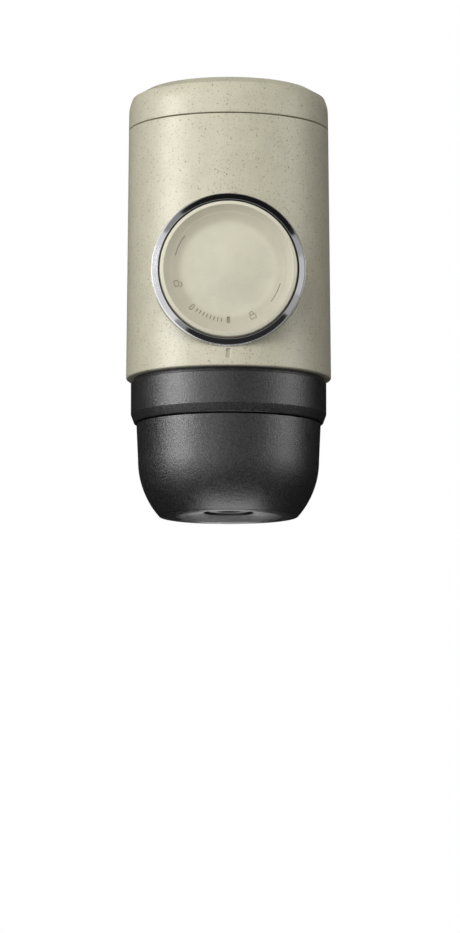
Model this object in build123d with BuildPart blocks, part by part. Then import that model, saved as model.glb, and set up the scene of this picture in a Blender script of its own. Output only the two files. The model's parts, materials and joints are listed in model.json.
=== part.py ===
from build123d import *

import os
from math import asin, cos, degrees, radians, sin, sqrt

# Handheld manual espresso maker for capsules. Millimetres, +Z up. The origin is the centre of the
# outlet head's flat foot. The push knob faces -Y, and the pump lies along Y behind it.

# Driving dimensions: the capsule that the maker takes
capsule_flange_radius = 18.9
capsule_flange_depth = 1.6
capsule_mouth_radius = 15.4
capsule_dome_radius = 12.6
capsule_height = 27.4

# Capsule holder
holder_rim_wall = 3.4
holder_wall = 3.6
holder_top_wall = 3.4
holder_roof = 1.6
holder_band_height = 4.0
holder_gap = 0.3
holder_float = 0.15
holder_top_bore_radius = 10.0

# Outlet head, from the foot up
head_floor_height = 7.4
head_foot_radius = 20.8
head_foot_rounding = 0.6
head_waist_height = 17.0
head_waist_inset = 0.5
head_step = 1.7
head_neck_wall = 1.9
head_neck_height = 9.8
neck_end_clearance = 0.7
foot_dish_radius = 16.0
foot_dish_depth = 1.2
spout_recess_radius = 7.5
spout_recess_depth = 1.5
spout_clearance = 1.1
spout_thickness = 1.0
spout_flare_radius = 3.7
spout_bore_radius = 1.6
spout_stub_radius = 3.0
funnel_radius = 18.0
funnel_depth = 1.6

# Extraction plate under the capsule
plate_thickness = 1.5
plate_pin_height = 1.2
plate_pin_width = 1.7
plate_pin_pitch = 3.6
plate_pin_taper = 12.0
plate_pin_margin = 0.9
plate_hole_radius = 0.5
plate_clearance = 0.15

# Seals
seal_section = 1.8
seal_groove_depth = 1.1
seal_groove_setback = 1.8
seal_squeeze_gap = 0.15
seal_rounding = 0.45
brew_seal_thickness = 1.5
brew_seal_width = 2.4
brew_seal_inset = 0.4
brew_seal_gap = 0.25

# Collar between head and body
collar_wall = 4.6
collar_chamfer_width = 1.3
collar_chamfer_height = 2.6
collar_chamfer_rounding = 0.8
collar_recess_depth = 0.6
collar_recess_height = 1.2
collar_thread_clearance = 0.4
collar_pocket_step = 0.9
collar_ledge_width = 1.5
collar_ledge_thickness = 2.5
collar_roof = 0.6
collar_spigot_height = 2.4
part_line_gap = 0.3

# Cream body
shell_step = 1.45
shell_taper = 0.65
shell_wall = 2.0
shell_edge_rounding = 0.5
shell_clearance = 0.2
shell_over_seat = 21.45
seam_gap = 0.3
seam_chamfer = 0.25
cap_taper = 0.1
cap_height = 11.85
cap_wall = 1.2
cap_slope_width = 5.2
cap_slope_rise = 2.5
cap_top_rounding = 4.8

# Tank
tank_clearance = 0.5
tank_wall = 1.6
tank_seat_wall = 1.9
tank_seat_height = 7.2
tank_thread_clearance = 0.3
tank_seal_thickness = 1.2
tank_seal_gap = 0.1

# Inner frame
deck_thickness = 3.2
seat_deck_thickness = 2.6
bulkhead_thickness = 4.0
sleeve_lip_depth = 4.0
sleeve_lip_wall = 1.45
housing_wall = 2.4
frame_rib_thickness = 2.4
frame_merge = 0.3
bulkhead_merge = 0.2
screw_post_radius = 2.4
screw_post_offset = 2.2

# Knob and bezel, along Y
knob_radius = 20.5
knob_gap = 0.35
knob_proud = 1.2
knob_wall = 1.6
knob_skirt_clearance = 2.0
knob_rim_width = 1.35
knob_rim_height = 0.9
knob_rim_rounding = 0.5
knob_face_thickness = 1.8
knob_face_clearance = 0.05
knob_face_dish = 0.9
knob_face_edge = 1.3
knob_hub_setback = 1.6
knob_lug_count = 3
knob_lug_width = 4.2
knob_lug_reach = 2.4
knob_lug_length = 2.4
knob_lug_setback = 0.3
knob_turn = 45.0
knob_end_play = 0.1
screw_pocket_clearance = 0.3
screw_pocket_depth = 3.2
bezel_proud = 1.15
bezel_thickness = 1.3
bezel_overhang = 0.23
bezel_slope_drop = 0.75
bezel_lip_width = 0.28
bezel_rounding = 0.12
sleeve_wall = 0.8
boss_wall = 0.85
boss_clearance = 0.1

# Pump, along Y
stroke = 18.0
stroke_margin = 0.5
pump_back_clearance = 4.7
barrel_bore_radius = 11.0
barrel_wall = 2.0
barrel_stand_out = 3.0
bushing_length = 3.0
rod_radius = 4.0
rod_clearance = 0.05
rod_collar_height = 1.6
rod_collar_length = 0.9
rod_socket_depth = 3.0
plunger_length = 5.0
plunger_clearance = 0.3
plunger_end_gap = 0.5
plunger_seal_clearance = 0.05
plunger_seal_width = 2.0
plunger_seal_depth = 1.4
lock_cavity_depth = 5.0
lock_lip_thickness = 2.0
lock_clearance = 0.4
lock_window_margin = 2.5
spring_wire_radius = 0.6
spring_clearance = 2.4
spring_turns = 6
spring_end_gap = 0.3

# Pump head, valves and tubes
pump_head_thickness = 4.4
pump_head_spigot = 1.0
pump_head_spigot_gap = 0.1
valve_offset = 6.0
valve_radius = 2.8
valve_flange_depth = 0.8
valve_bill_radius = 1.9
valve_bill_length = 1.6
valve_lip_thickness = 0.6
valve_pocket_margin = 0.1
tube_radius = 1.7
tube_bore_radius = 0.9
tube_socket_depth = 3.0

# Piercing plate
needle_circle_radius = 5.0
needle_base_radius = 1.3
needle_tip_radius = 0.25
needle_length = 6.5
needle_count = 3
needle_bore_radius = 0.4
channel_width = 2.0
channel_depth = 1.0
spread_radius = 7.5

# Screws
knob_screw_head_radius = 4.3
knob_screw_head_height = 2.2
knob_screw_radius = 1.5
knob_screw_length = 8.0
chassis_screw_inset = 2.2
chassis_screw_length = 8.0
small_screw_radius = 1.0
small_screw_head_radius = 1.9
small_screw_head_height = 1.4
small_screw_count = 4
screw_start_angle = 45.0
head_screw_length = 10.0
screw_socket_radius = 0.9
screw_socket_depth = 0.8

# Radii, from the capsule outwards
holder_radius = capsule_flange_radius + holder_rim_wall
holder_shoulder_radius = capsule_mouth_radius + holder_wall
holder_top_radius = capsule_dome_radius + holder_top_wall
head_bore_radius = holder_radius + holder_gap
head_neck_radius = head_bore_radius + head_neck_wall
plate_radius = head_bore_radius - plate_clearance
plate_pin_field_radius = capsule_mouth_radius - plate_pin_margin
spout_radius = spout_recess_radius - spout_clearance
brew_seal_radius = holder_top_radius - brew_seal_inset
brew_seal_bore_radius = brew_seal_radius - brew_seal_width
collar_thread_radius = head_neck_radius + collar_thread_clearance
collar_radius = collar_thread_radius + collar_wall
collar_recess_radius = collar_radius - collar_recess_depth
collar_pocket_radius = collar_thread_radius - collar_pocket_step
collar_ledge_radius = collar_pocket_radius - collar_ledge_width
head_shoulder_radius = collar_radius - head_step
head_waist_radius = head_shoulder_radius - head_waist_inset
shell_low_radius = collar_radius + shell_step
shell_high_radius = shell_low_radius - shell_taper
cap_top_radius = shell_high_radius - cap_taper
cap_flat_radius = cap_top_radius - cap_slope_width
shell_bore_radius = shell_high_radius - shell_wall
frame_radius = shell_bore_radius - shell_clearance
chassis_screw_circle_radius = frame_radius - chassis_screw_inset
tank_radius = shell_bore_radius - tank_clearance
tank_bore_radius = tank_radius - tank_wall
tank_seat_radius = tank_bore_radius - tank_thread_clearance
tank_seat_bore_radius = tank_seat_radius - tank_seat_wall

# Radii round the pump's axis, from the knob and the barrel
sleeve_bore_radius = knob_radius + knob_gap
sleeve_radius = sleeve_bore_radius + sleeve_wall
boss_bore_radius = sleeve_radius + boss_clearance
boss_radius = boss_bore_radius + boss_wall
bezel_radius = boss_radius + bezel_overhang
bulkhead_radius = boss_bore_radius + sleeve_lip_wall
face_radius = knob_radius - knob_rim_width
barrel_radius = barrel_bore_radius + barrel_wall
housing_radius = barrel_radius + housing_wall
screw_post_circle_radius = barrel_radius + screw_post_offset
lug_radius = barrel_bore_radius - lock_clearance
knob_hub_radius = lug_radius - knob_lug_reach
rod_collar_radius = rod_radius + rod_collar_height
screw_pocket_radius = knob_screw_head_radius + screw_pocket_clearance
spring_mean_radius = knob_radius - knob_wall - spring_clearance - spring_wire_radius

# Heights of the stack, from the foot up
holder_bottom = head_floor_height + plate_thickness + plate_pin_height + holder_float
holder_top = holder_bottom + capsule_height + holder_roof
ledge_top = holder_top + brew_seal_gap + brew_seal_thickness
thread_top = ledge_top - collar_ledge_thickness
neck_top = thread_top - neck_end_clearance
head_height = neck_top - head_neck_height
collar_bottom = head_height + part_line_gap
collar_top = ledge_top + collar_roof
deck_bottom = collar_top + collar_spigot_height
deck_top = deck_bottom + deck_thickness
pump_height = deck_top + bulkhead_radius - bulkhead_merge
seat_bottom = pump_height + bulkhead_radius
seat_deck_top = seat_bottom + seat_deck_thickness
shell_top = seat_deck_top + shell_over_seat
cap_bottom = shell_top + seam_gap
total_height = cap_bottom + cap_height
tank_mouth = seat_deck_top + tank_seal_thickness + tank_seal_gap
cap_shoulder = total_height - cap_slope_rise
tank_top = cap_shoulder - cap_wall

# Places along the pump: distances behind its middle are called back, those towards the knob front
pump_back = frame_radius - pump_back_clearance
barrel_back = pump_back - pump_head_thickness
tube_distance = barrel_back + pump_head_thickness / 2
plunger_front = barrel_back - pump_head_spigot - plunger_end_gap - plunger_length
barrel_mouth = stroke + stroke_margin + bushing_length - plunger_front
bulkhead_front = barrel_mouth - barrel_stand_out
knob_hub_end = barrel_mouth + knob_hub_setback
knob_skirt_end = bulkhead_front + knob_skirt_clearance
bezel_front = shell_low_radius + bezel_proud
boss_front = bezel_front - bezel_thickness
knob_front = bezel_front + knob_proud
face_front = knob_front - knob_rim_height
face_seat = face_front - knob_face_thickness
knob_web_back = face_seat - knob_wall
pocket_floor = face_seat - screw_pocket_depth
rod_end = pocket_floor + knob_end_play

# The pump's own planes: face_plane looks out of the knob, and section_plane has the distance
# towards the user as its first coordinate and the radius from the pump's axis as its second.
face_plane = Plane(origin=(0, 0, pump_height), x_dir=(1, 0, 0), z_dir=(0, -1, 0))
section_plane = Plane(origin=(0, 0, pump_height), x_dir=(0, -1, 0), z_dir=(-1, 0, 0))
pump_axis = Axis((0, 0, pump_height), (0, -1, 0))

os.makedirs("parts", exist_ok=True)


def save(piece, name):
    """Label a finished piece and write it to its own file."""
    piece.label = name
    export_step(piece, f"parts/{name}.step")


def widest_circles(piece, count):
    """The round edges of a piece with the largest radii, the widest last."""
    return piece.edges().filter_by(GeomType.CIRCLE).sort_by(SortBy.RADIUS)[-count:]


def outer_rim(piece, along, level):
    """The widest round edge at one level of a piece: level is 0 for its first and -1 for its last."""
    rims = piece.edges().filter_by(GeomType.CIRCLE).group_by(along)[level]
    return rims.sort_by(SortBy.RADIUS)[-1]


def tangent_arc_radius(run, rise):
    """Radius of an arc that starts along its run and has moved off it by its rise at the end."""
    return (run**2 + rise**2) / (2 * rise)


# Outlet head: a cup with a curved side, a threaded neck and a dished foot
seal_bottom = neck_top - seal_groove_setback - seal_section
with BuildPart() as head_shell:
    with BuildSketch(Plane.XZ):
        with BuildLine():
            Line((0, 0), (head_foot_radius, 0))
            RadiusArc(
                (head_foot_radius, 0),
                (head_waist_radius, head_waist_height),
                -tangent_arc_radius(head_waist_height, head_waist_radius - head_foot_radius),
            )
            Polyline(
                (head_waist_radius, head_waist_height),
                (head_shoulder_radius, head_height),
                (head_neck_radius, head_height),
                (head_neck_radius, neck_top),
                (head_bore_radius, neck_top),
                (head_bore_radius, head_floor_height),
                (funnel_radius, head_floor_height),
                (spout_stub_radius, head_floor_height - funnel_depth),
                (0, head_floor_height - funnel_depth),
                (0, 0),
            )
        make_face()
    revolve(axis=Axis.Z)
    fillet(outer_rim(head_shell, Axis.Z, 0), radius=head_foot_rounding)
    # Shallow cone of the foot, the round recess in its middle and the hole of the spout
    with BuildSketch(Plane.XZ):
        Polygon(
            (0, 0),
            (foot_dish_radius, 0),
            (spout_recess_radius, foot_dish_depth),
            (spout_recess_radius, foot_dish_depth + spout_recess_depth),
            (0, foot_dish_depth + spout_recess_depth),
            align=None,
        )
    revolve(axis=Axis.Z, mode=Mode.SUBTRACT)
    with Locations(Plane.XY.offset(foot_dish_depth + spout_recess_depth)):
        Cylinder(spout_stub_radius, head_height, align=(Align.CENTER, Align.CENTER, Align.MIN),
                 mode=Mode.SUBTRACT)
    # Groove of the neck's seal
    with BuildSketch(Plane.XZ):
        with Locations((head_neck_radius, seal_bottom)):
            Rectangle(2 * seal_groove_depth, seal_section, align=(Align.CENTER, Align.MIN))
    revolve(axis=Axis.Z, mode=Mode.SUBTRACT)
save(head_shell.part, "head_shell")

with BuildPart() as head_seal:
    with BuildSketch(Plane.XZ):
        with Locations((head_neck_radius - seal_groove_depth, seal_bottom)):
            Rectangle(
                seal_groove_depth + collar_thread_clearance - seal_squeeze_gap,
                seal_section,
                align=(Align.MIN, Align.MIN),
            )
    revolve(axis=Axis.Z)
    fillet(widest_circles(head_seal, 2), radius=seal_rounding)
save(head_seal.part, "head_seal")

# Spout: a ring that shows in the foot's recess, with a flared bore and a stub through the floor
recess_top = foot_dish_depth + spout_recess_depth
with BuildPart() as outlet_spout:
    with BuildSketch(Plane.XZ):
        Polygon(
            (spout_flare_radius, recess_top - spout_thickness),
            (spout_radius, recess_top - spout_thickness),
            (spout_radius, recess_top),
            (spout_stub_radius, recess_top),
            (spout_stub_radius, head_floor_height - funnel_depth),
            (spout_bore_radius, head_floor_height - funnel_depth),
            (spout_bore_radius, recess_top),
            align=None,
        )
    revolve(axis=Axis.Z)
save(outlet_spout.part, "outlet_spout")

# Extraction plate: a disc with a field of tapered pins and drain holes between them
with BuildPart() as extraction_plate:
    with BuildSketch(Plane.XY.offset(head_floor_height)):
        Circle(plate_radius)
    extrude(amount=plate_thickness)
    pin_rows = 1 + 2 * int(plate_pin_field_radius / plate_pin_pitch)
    field = GridLocations(plate_pin_pitch, plate_pin_pitch, pin_rows, pin_rows)
    pins = [place for place in field if place.position.length < plate_pin_field_radius]
    gaps = GridLocations(plate_pin_pitch, plate_pin_pitch, pin_rows - 1, pin_rows - 1)
    drains = [place for place in gaps if place.position.length < plate_pin_field_radius - plate_pin_pitch]
    with BuildSketch(Plane.XY.offset(head_floor_height + plate_thickness)):
        with Locations(pins):
            Rectangle(plate_pin_width, plate_pin_width)
    extrude(amount=plate_pin_height, taper=plate_pin_taper)
    with BuildSketch(Plane.XY.offset(head_floor_height)):
        with Locations(drains):
            Circle(plate_hole_radius)
    extrude(amount=plate_thickness, mode=Mode.SUBTRACT)
save(extraction_plate.part, "extraction_plate")

# Capsule holder: the flange seats in its lower recess and the dome stands up its cone
with BuildPart() as capsule_holder:
    with BuildSketch(Plane.XZ):
        Polygon(
            (capsule_flange_radius, holder_bottom),
            (holder_radius, holder_bottom),
            (holder_radius, holder_bottom + holder_band_height),
            (holder_shoulder_radius, holder_bottom + 2 * holder_band_height),
            (holder_top_radius, holder_top),
            (holder_top_bore_radius, holder_top),
            (holder_top_bore_radius, holder_bottom + capsule_height),
            (capsule_dome_radius, holder_bottom + capsule_height),
            (capsule_mouth_radius, holder_bottom + capsule_flange_depth),
            (capsule_flange_radius, holder_bottom + capsule_flange_depth),
            align=None,
        )
    revolve(axis=Axis.Z)
save(capsule_holder.part, "capsule_holder")

# Collar: black ring under the body, with the head's thread inside and a spigot into the body
with BuildPart() as neck_collar:
    with BuildSketch(Plane.XZ):
        Polygon(
            (collar_thread_radius, collar_bottom),
            (collar_radius - collar_chamfer_width, collar_bottom),
            (collar_radius, collar_bottom + collar_chamfer_height),
            (collar_radius, collar_top - collar_recess_height),
            (collar_recess_radius, collar_top - collar_recess_height),
            (collar_recess_radius, collar_top),
            (frame_radius, collar_top),
            (frame_radius, deck_bottom),
            (collar_pocket_radius, deck_bottom),
            (collar_pocket_radius, ledge_top),
            (collar_ledge_radius, ledge_top),
            (collar_ledge_radius, thread_top),
            (collar_thread_radius, thread_top),
            align=None,
        )
    revolve(axis=Axis.Z)
    chamfer_top = widest_circles(neck_collar, 2).sort_by(Axis.Z)[0]
    fillet(chamfer_top, radius=collar_chamfer_rounding)
    with Locations(Plane.XY.offset(deck_bottom)):
        with PolarLocations(chassis_screw_circle_radius, small_screw_count, start_angle=screw_start_angle):
            Hole(small_screw_radius, depth=chassis_screw_length - deck_thickness)
save(neck_collar.part, "neck_collar")

# Piercing plate: closes the collar, spreads the water and carries the hollow needles
with BuildPart() as piercing_plate:
    with BuildSketch(Plane.XY.offset(ledge_top)):
        Circle(collar_pocket_radius - part_line_gap)
    extrude(amount=deck_bottom - ledge_top)
    with Locations(Plane(origin=(0, 0, ledge_top), z_dir=(0, 0, -1))):
        with PolarLocations(needle_circle_radius, needle_count, start_angle=90):
            Cone(
                needle_base_radius,
                needle_tip_radius,
                needle_length,
                align=(Align.CENTER, Align.CENTER, Align.MIN),
            )
    with BuildSketch(Plane.XY.offset(deck_bottom)):
        Circle(spread_radius)
        with Locations((0, tube_distance / 2)):
            Rectangle(channel_width, tube_distance)
        with Locations((0, tube_distance)):
            Circle(channel_width / 2)
    extrude(amount=-channel_depth, mode=Mode.SUBTRACT)
    with BuildSketch(Plane.XY.offset(ledge_top)):
        with PolarLocations(spread_radius - needle_base_radius, needle_count, start_angle=-90):
            Circle(needle_bore_radius)
    extrude(amount=deck_bottom - ledge_top, mode=Mode.SUBTRACT)
save(piercing_plate.part, "piercing_plate")

with BuildPart() as brew_seal:
    with BuildSketch(Plane.XZ):
        with Locations((brew_seal_bore_radius, holder_top + brew_seal_gap)):
            Rectangle(
                brew_seal_radius - brew_seal_bore_radius,
                ledge_top - holder_top - brew_seal_gap,
                align=(Align.MIN, Align.MIN),
            )
    revolve(axis=Axis.Z)
save(brew_seal.part, "brew_seal")

# Cream body: a tapered tube with a round boss for the pump's bezel
with BuildPart() as body_shell:
    with BuildSketch(Plane.XZ):
        Polygon(
            (shell_bore_radius, collar_top),
            (shell_low_radius, collar_top),
            (shell_high_radius, shell_top),
            (shell_bore_radius, shell_top),
            align=None,
        )
    revolve(axis=Axis.Z)
    fillet(outer_rim(body_shell, Axis.Z, 0), radius=shell_edge_rounding)
    chamfer(outer_rim(body_shell, Axis.Z, -1), length=seam_chamfer)
    with BuildSketch(face_plane.offset(boss_front)):
        Circle(boss_radius)
    extrude(amount=-(boss_front - sqrt(shell_bore_radius**2 - boss_radius**2)))
    with BuildSketch(Plane.XY.offset(collar_top)):
        Circle(shell_bore_radius)
    extrude(amount=shell_top - collar_top, mode=Mode.SUBTRACT)
    with BuildSketch(face_plane):
        Circle(boss_bore_radius)
    extrude(amount=knob_front, mode=Mode.SUBTRACT)
    with BuildSketch(face_plane.offset(boss_front)):
        Circle(bezel_radius)
    extrude(amount=bezel_thickness, mode=Mode.SUBTRACT)
save(body_shell.part, "body_shell")

# Bezel: polished cone with a thin lip, in one with the sleeve that the knob runs in
bezel_cone_radius = bezel_radius - bezel_lip_width
bezel_lip_front = bezel_front - bezel_slope_drop
with BuildPart() as pump_bezel:
    with BuildSketch(section_plane):
        Polygon(
            (bulkhead_front, sleeve_bore_radius),
            (bulkhead_front, sleeve_radius),
            (boss_front, sleeve_radius),
            (boss_front, bezel_radius),
            (bezel_lip_front, bezel_radius),
            (bezel_lip_front, bezel_cone_radius),
            (bezel_front, sleeve_bore_radius + bezel_rounding),
            (bezel_front, sleeve_bore_radius),
            align=None,
        )
    revolve(axis=pump_axis)
    fillet(widest_circles(pump_bezel, 1), radius=bezel_rounding)
save(pump_bezel.part, "pump_bezel")

# Inner frame: lower deck, tank seat, bulkhead behind the knob, pump housing and ribs
housing_front = bulkhead_front - bulkhead_thickness
housing_length = barrel_back + housing_front
with BuildPart() as chassis:
    with BuildSketch(Plane.XY.offset(deck_bottom)):
        Circle(frame_radius)
    extrude(amount=deck_thickness)
    with BuildSketch(Plane.XY.offset(seat_bottom - frame_merge)):
        Circle(frame_radius)
    extrude(amount=seat_deck_thickness + frame_merge)
    with BuildSketch(Plane.XY.offset(seat_deck_top)):
        Circle(tank_seat_radius)
        Circle(tank_seat_bore_radius, mode=Mode.SUBTRACT)
    extrude(amount=tank_seat_height)
    # Bulkhead with the lip that the sleeve stands in
    with BuildSketch(face_plane.offset(housing_front)):
        Circle(bulkhead_radius)
    extrude(amount=bulkhead_thickness)
    with BuildSketch(face_plane.offset(bulkhead_front)):
        Circle(bulkhead_radius)
        Circle(boss_bore_radius, mode=Mode.SUBTRACT)
    extrude(amount=sleeve_lip_depth)
    # Pump housing with its four screw posts
    with BuildSketch(face_plane.offset(-barrel_back)):
        Circle(housing_radius)
        with PolarLocations(screw_post_circle_radius, small_screw_count, start_angle=screw_start_angle):
            Circle(screw_post_radius)
    extrude(amount=housing_length)
    # Upright ribs: one behind the middle and one down each side of the housing
    with BuildSketch(Plane.XY.offset(deck_bottom)):
        with Locations((0, -housing_front)):
            Rectangle(frame_rib_thickness, housing_length, align=(Align.CENTER, Align.MIN))
            with GridLocations(2 * housing_radius - frame_rib_thickness, 1, 2, 1):
                Rectangle(frame_rib_thickness, housing_length, align=(Align.CENTER, Align.MIN))
    extrude(amount=seat_bottom - deck_bottom)
    # Barrel bore, tube holes and screw holes
    with BuildSketch(face_plane.offset(-frame_radius)):
        Circle(barrel_radius)
    extrude(amount=2 * frame_radius, mode=Mode.SUBTRACT)
    with BuildSketch(Plane.XY.offset(deck_bottom)):
        with Locations((0, tube_distance)):
            Circle(tube_radius)
    extrude(amount=seat_deck_top - deck_bottom, mode=Mode.SUBTRACT)
    with BuildSketch(Plane.XY.offset(deck_bottom)):
        with PolarLocations(chassis_screw_circle_radius, small_screw_count, start_angle=screw_start_angle):
            Circle(small_screw_radius)
    extrude(amount=deck_thickness, mode=Mode.SUBTRACT)
    with BuildSketch(face_plane.offset(-barrel_back)):
        with PolarLocations(screw_post_circle_radius, small_screw_count, start_angle=screw_start_angle):
            Circle(small_screw_radius)
    extrude(amount=head_screw_length - pump_head_thickness, mode=Mode.SUBTRACT)
save(chassis.part, "chassis")

# Pump barrel, open at the knob's end, with the rod's bushing in its mouth
with BuildPart() as pump_barrel:
    with BuildSketch(face_plane.offset(-barrel_back)):
        Circle(barrel_radius)
        Circle(barrel_bore_radius, mode=Mode.SUBTRACT)
    extrude(amount=barrel_back + barrel_mouth)
save(pump_barrel.part, "pump_barrel")

with BuildPart() as rod_bushing:
    with BuildSketch(face_plane.offset(barrel_mouth)):
        Circle(barrel_bore_radius)
        Circle(rod_radius + rod_clearance, mode=Mode.SUBTRACT)
    extrude(amount=-bushing_length)
save(rod_bushing.part, "rod_bushing")

# Lock ring: a cup on the barrel's mouth with lips that the knob's lugs turn behind
lock_window_reach = 2 * barrel_radius
lug_half_angle = degrees(asin(knob_lug_width / 2 / knob_hub_radius))
window_half_angle = radians(lug_half_angle + knob_turn / 2 + lock_window_margin)
with BuildPart() as lock_ring:
    with BuildSketch(face_plane.offset(barrel_mouth)):
        Circle(barrel_radius)
        Circle(barrel_bore_radius, mode=Mode.SUBTRACT)
    extrude(amount=lock_cavity_depth)
    with BuildSketch(face_plane.offset(barrel_mouth + lock_cavity_depth)):
        Circle(barrel_radius)
        Circle(knob_hub_radius + lock_clearance, mode=Mode.SUBTRACT)
    extrude(amount=lock_lip_thickness)
    with BuildSketch(face_plane.offset(barrel_mouth + lock_cavity_depth)):
        with PolarLocations(0, knob_lug_count, start_angle=90 + knob_turn / 2):
            Polygon(
                (0, 0),
                (lock_window_reach * cos(window_half_angle), -lock_window_reach * sin(window_half_angle)),
                (lock_window_reach * cos(window_half_angle), lock_window_reach * sin(window_half_angle)),
                align=None,
            )
        Circle(barrel_bore_radius, mode=Mode.INTERSECT)
    extrude(amount=lock_lip_thickness, mode=Mode.SUBTRACT)
save(lock_ring.part, "lock_ring")

# Pump head: closes the barrel, with two valve pockets and a port up and a port down
pocket_depth = valve_flange_depth + valve_bill_length + 2 * valve_pocket_margin
with BuildPart() as pump_head:
    with BuildSketch(face_plane.offset(-pump_back)):
        Circle(housing_radius)
        with PolarLocations(screw_post_circle_radius, small_screw_count, start_angle=screw_start_angle):
            Circle(screw_post_radius)
    extrude(amount=pump_head_thickness)
    with BuildSketch(face_plane.offset(-barrel_back)):
        Circle(barrel_bore_radius - pump_head_spigot_gap)
    extrude(amount=pump_head_spigot)
    with BuildSketch(face_plane.offset(pump_head_spigot - barrel_back)):
        with GridLocations(1, 2 * valve_offset, 1, 2):
            Circle(valve_radius)
    extrude(amount=-pocket_depth, mode=Mode.SUBTRACT)
    for side in (-1, 1):
        port_plane = Plane(
            origin=(0, tube_distance, pump_height + side * housing_radius),
            x_dir=(1, 0, 0),
            z_dir=(0, 0, side),
        )
        with BuildSketch(port_plane):
            Circle(tube_radius)
        extrude(amount=-tube_socket_depth, mode=Mode.SUBTRACT)
        with BuildSketch(port_plane):
            Circle(tube_bore_radius)
        extrude(amount=valve_offset - housing_radius, mode=Mode.SUBTRACT)
    with BuildSketch(face_plane.offset(-pump_back)):
        with PolarLocations(screw_post_circle_radius, small_screw_count, start_angle=screw_start_angle):
            Circle(small_screw_radius)
    extrude(amount=pump_head_thickness, mode=Mode.SUBTRACT)
save(pump_head.part, "pump_head")


def duckbill(height, flange_front, direction):
    """Rubber one-way valve: a flange and a bill that narrows to a flat lip.

    height is above the pump's axis, flange_front is the flange's place along the pump and
    direction is 1 where the bill points at the knob and -1 where it points away from it.
    """
    base = Plane(
        origin=(0, -flange_front, pump_height + height),
        x_dir=(1, 0, 0),
        z_dir=(0, -direction, 0),
    )
    with BuildPart() as valve:
        with BuildSketch(base):
            Circle(valve_radius - valve_pocket_margin)
        extrude(amount=-valve_flange_depth)
        with BuildSketch(base):
            Rectangle(2 * valve_bill_radius, 2 * valve_bill_radius)
        with BuildSketch(base.offset(valve_bill_length)):
            Rectangle(2 * valve_bill_radius, valve_lip_thickness)
        loft()
    return valve.part


pocket_floor_front = pump_head_spigot - barrel_back - pocket_depth
inlet_flange_front = pocket_floor_front + valve_pocket_margin + valve_flange_depth
outlet_flange_front = pump_head_spigot - barrel_back - valve_pocket_margin - valve_flange_depth
save(duckbill(valve_offset, inlet_flange_front, 1), "inlet_valve")
save(duckbill(-valve_offset, outlet_flange_front, -1), "outlet_valve")

# Tubes from the tank seat to the pump head and from the pump head to the lower deck
tube_runs = {
    "suction_tube": (pump_height + housing_radius - tube_socket_depth, seat_deck_top),
    "brew_tube": (deck_bottom, pump_height - housing_radius + tube_socket_depth),
}
for tube_name, (tube_bottom, tube_top) in tube_runs.items():
    with BuildPart() as tube:
        with BuildSketch(Plane.XY.offset(tube_bottom)):
            with Locations((0, tube_distance)):
                Circle(tube_radius)
                Circle(tube_bore_radius, mode=Mode.SUBTRACT)
        extrude(amount=tube_top - tube_bottom)
    save(tube.part, tube_name)

# Piston: rod with a collar behind the knob's hub, plunger and its seal
with BuildPart() as piston_rod:
    with BuildSketch(section_plane):
        Polygon(
            (-plunger_front - rod_socket_depth, 0),
            (-plunger_front - rod_socket_depth, rod_radius),
            (knob_hub_end - knob_end_play - rod_collar_length, rod_radius),
            (knob_hub_end - knob_end_play - rod_collar_length, rod_collar_radius),
            (knob_hub_end - knob_end_play, rod_collar_radius),
            (knob_hub_end - knob_end_play, rod_radius),
            (rod_end, rod_radius),
            (rod_end, knob_screw_radius),
            (rod_end - knob_screw_length, knob_screw_radius),
            (rod_end - knob_screw_length, 0),
            align=None,
        )
    revolve(axis=pump_axis)
save(piston_rod.part, "piston_rod")

seal_radius = barrel_bore_radius - plunger_seal_clearance
groove_radius = seal_radius - plunger_seal_depth
groove_front = -plunger_front - (plunger_length - plunger_seal_width) / 2
with BuildPart() as plunger:
    with BuildSketch(section_plane):
        Polygon(
            (-plunger_front, rod_radius),
            (-plunger_front, barrel_bore_radius - plunger_clearance),
            (groove_front, barrel_bore_radius - plunger_clearance),
            (groove_front, groove_radius),
            (groove_front - plunger_seal_width, groove_radius),
            (groove_front - plunger_seal_width, barrel_bore_radius - plunger_clearance),
            (-plunger_front - plunger_length, barrel_bore_radius - plunger_clearance),
            (-plunger_front - plunger_length, 0),
            (-plunger_front - rod_socket_depth, 0),
            (-plunger_front - rod_socket_depth, rod_radius),
            align=None,
        )
    revolve(axis=pump_axis)
save(plunger.part, "plunger")

with BuildPart() as piston_seal:
    with BuildSketch(section_plane):
        with Locations((groove_front, groove_radius)):
            Rectangle(plunger_seal_width, plunger_seal_depth, align=(Align.MAX, Align.MIN))
    revolve(axis=pump_axis)
    fillet(widest_circles(piston_seal, 2), radius=seal_rounding)
save(piston_seal.part, "piston_seal")

# Return spring, round the barrel's mouth between the bulkhead and the knob's web
spring_back = bulkhead_front + spring_wire_radius + spring_end_gap
spring_length = knob_web_back - spring_wire_radius - spring_end_gap - spring_back
with BuildPart() as piston_spring:
    with BuildLine() as coil:
        Helix(
            pitch=spring_length / spring_turns,
            height=spring_length,
            radius=spring_mean_radius,
            center=(0, -spring_back, pump_height),
            direction=(0, -1, 0),
        )
    with BuildSketch(Plane(origin=coil.line @ 0, z_dir=coil.line % 0)):
        RegularPolygon(spring_wire_radius, 6)
    sweep(is_frenet=True)
save(piston_spring.part, "piston_spring")

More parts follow.
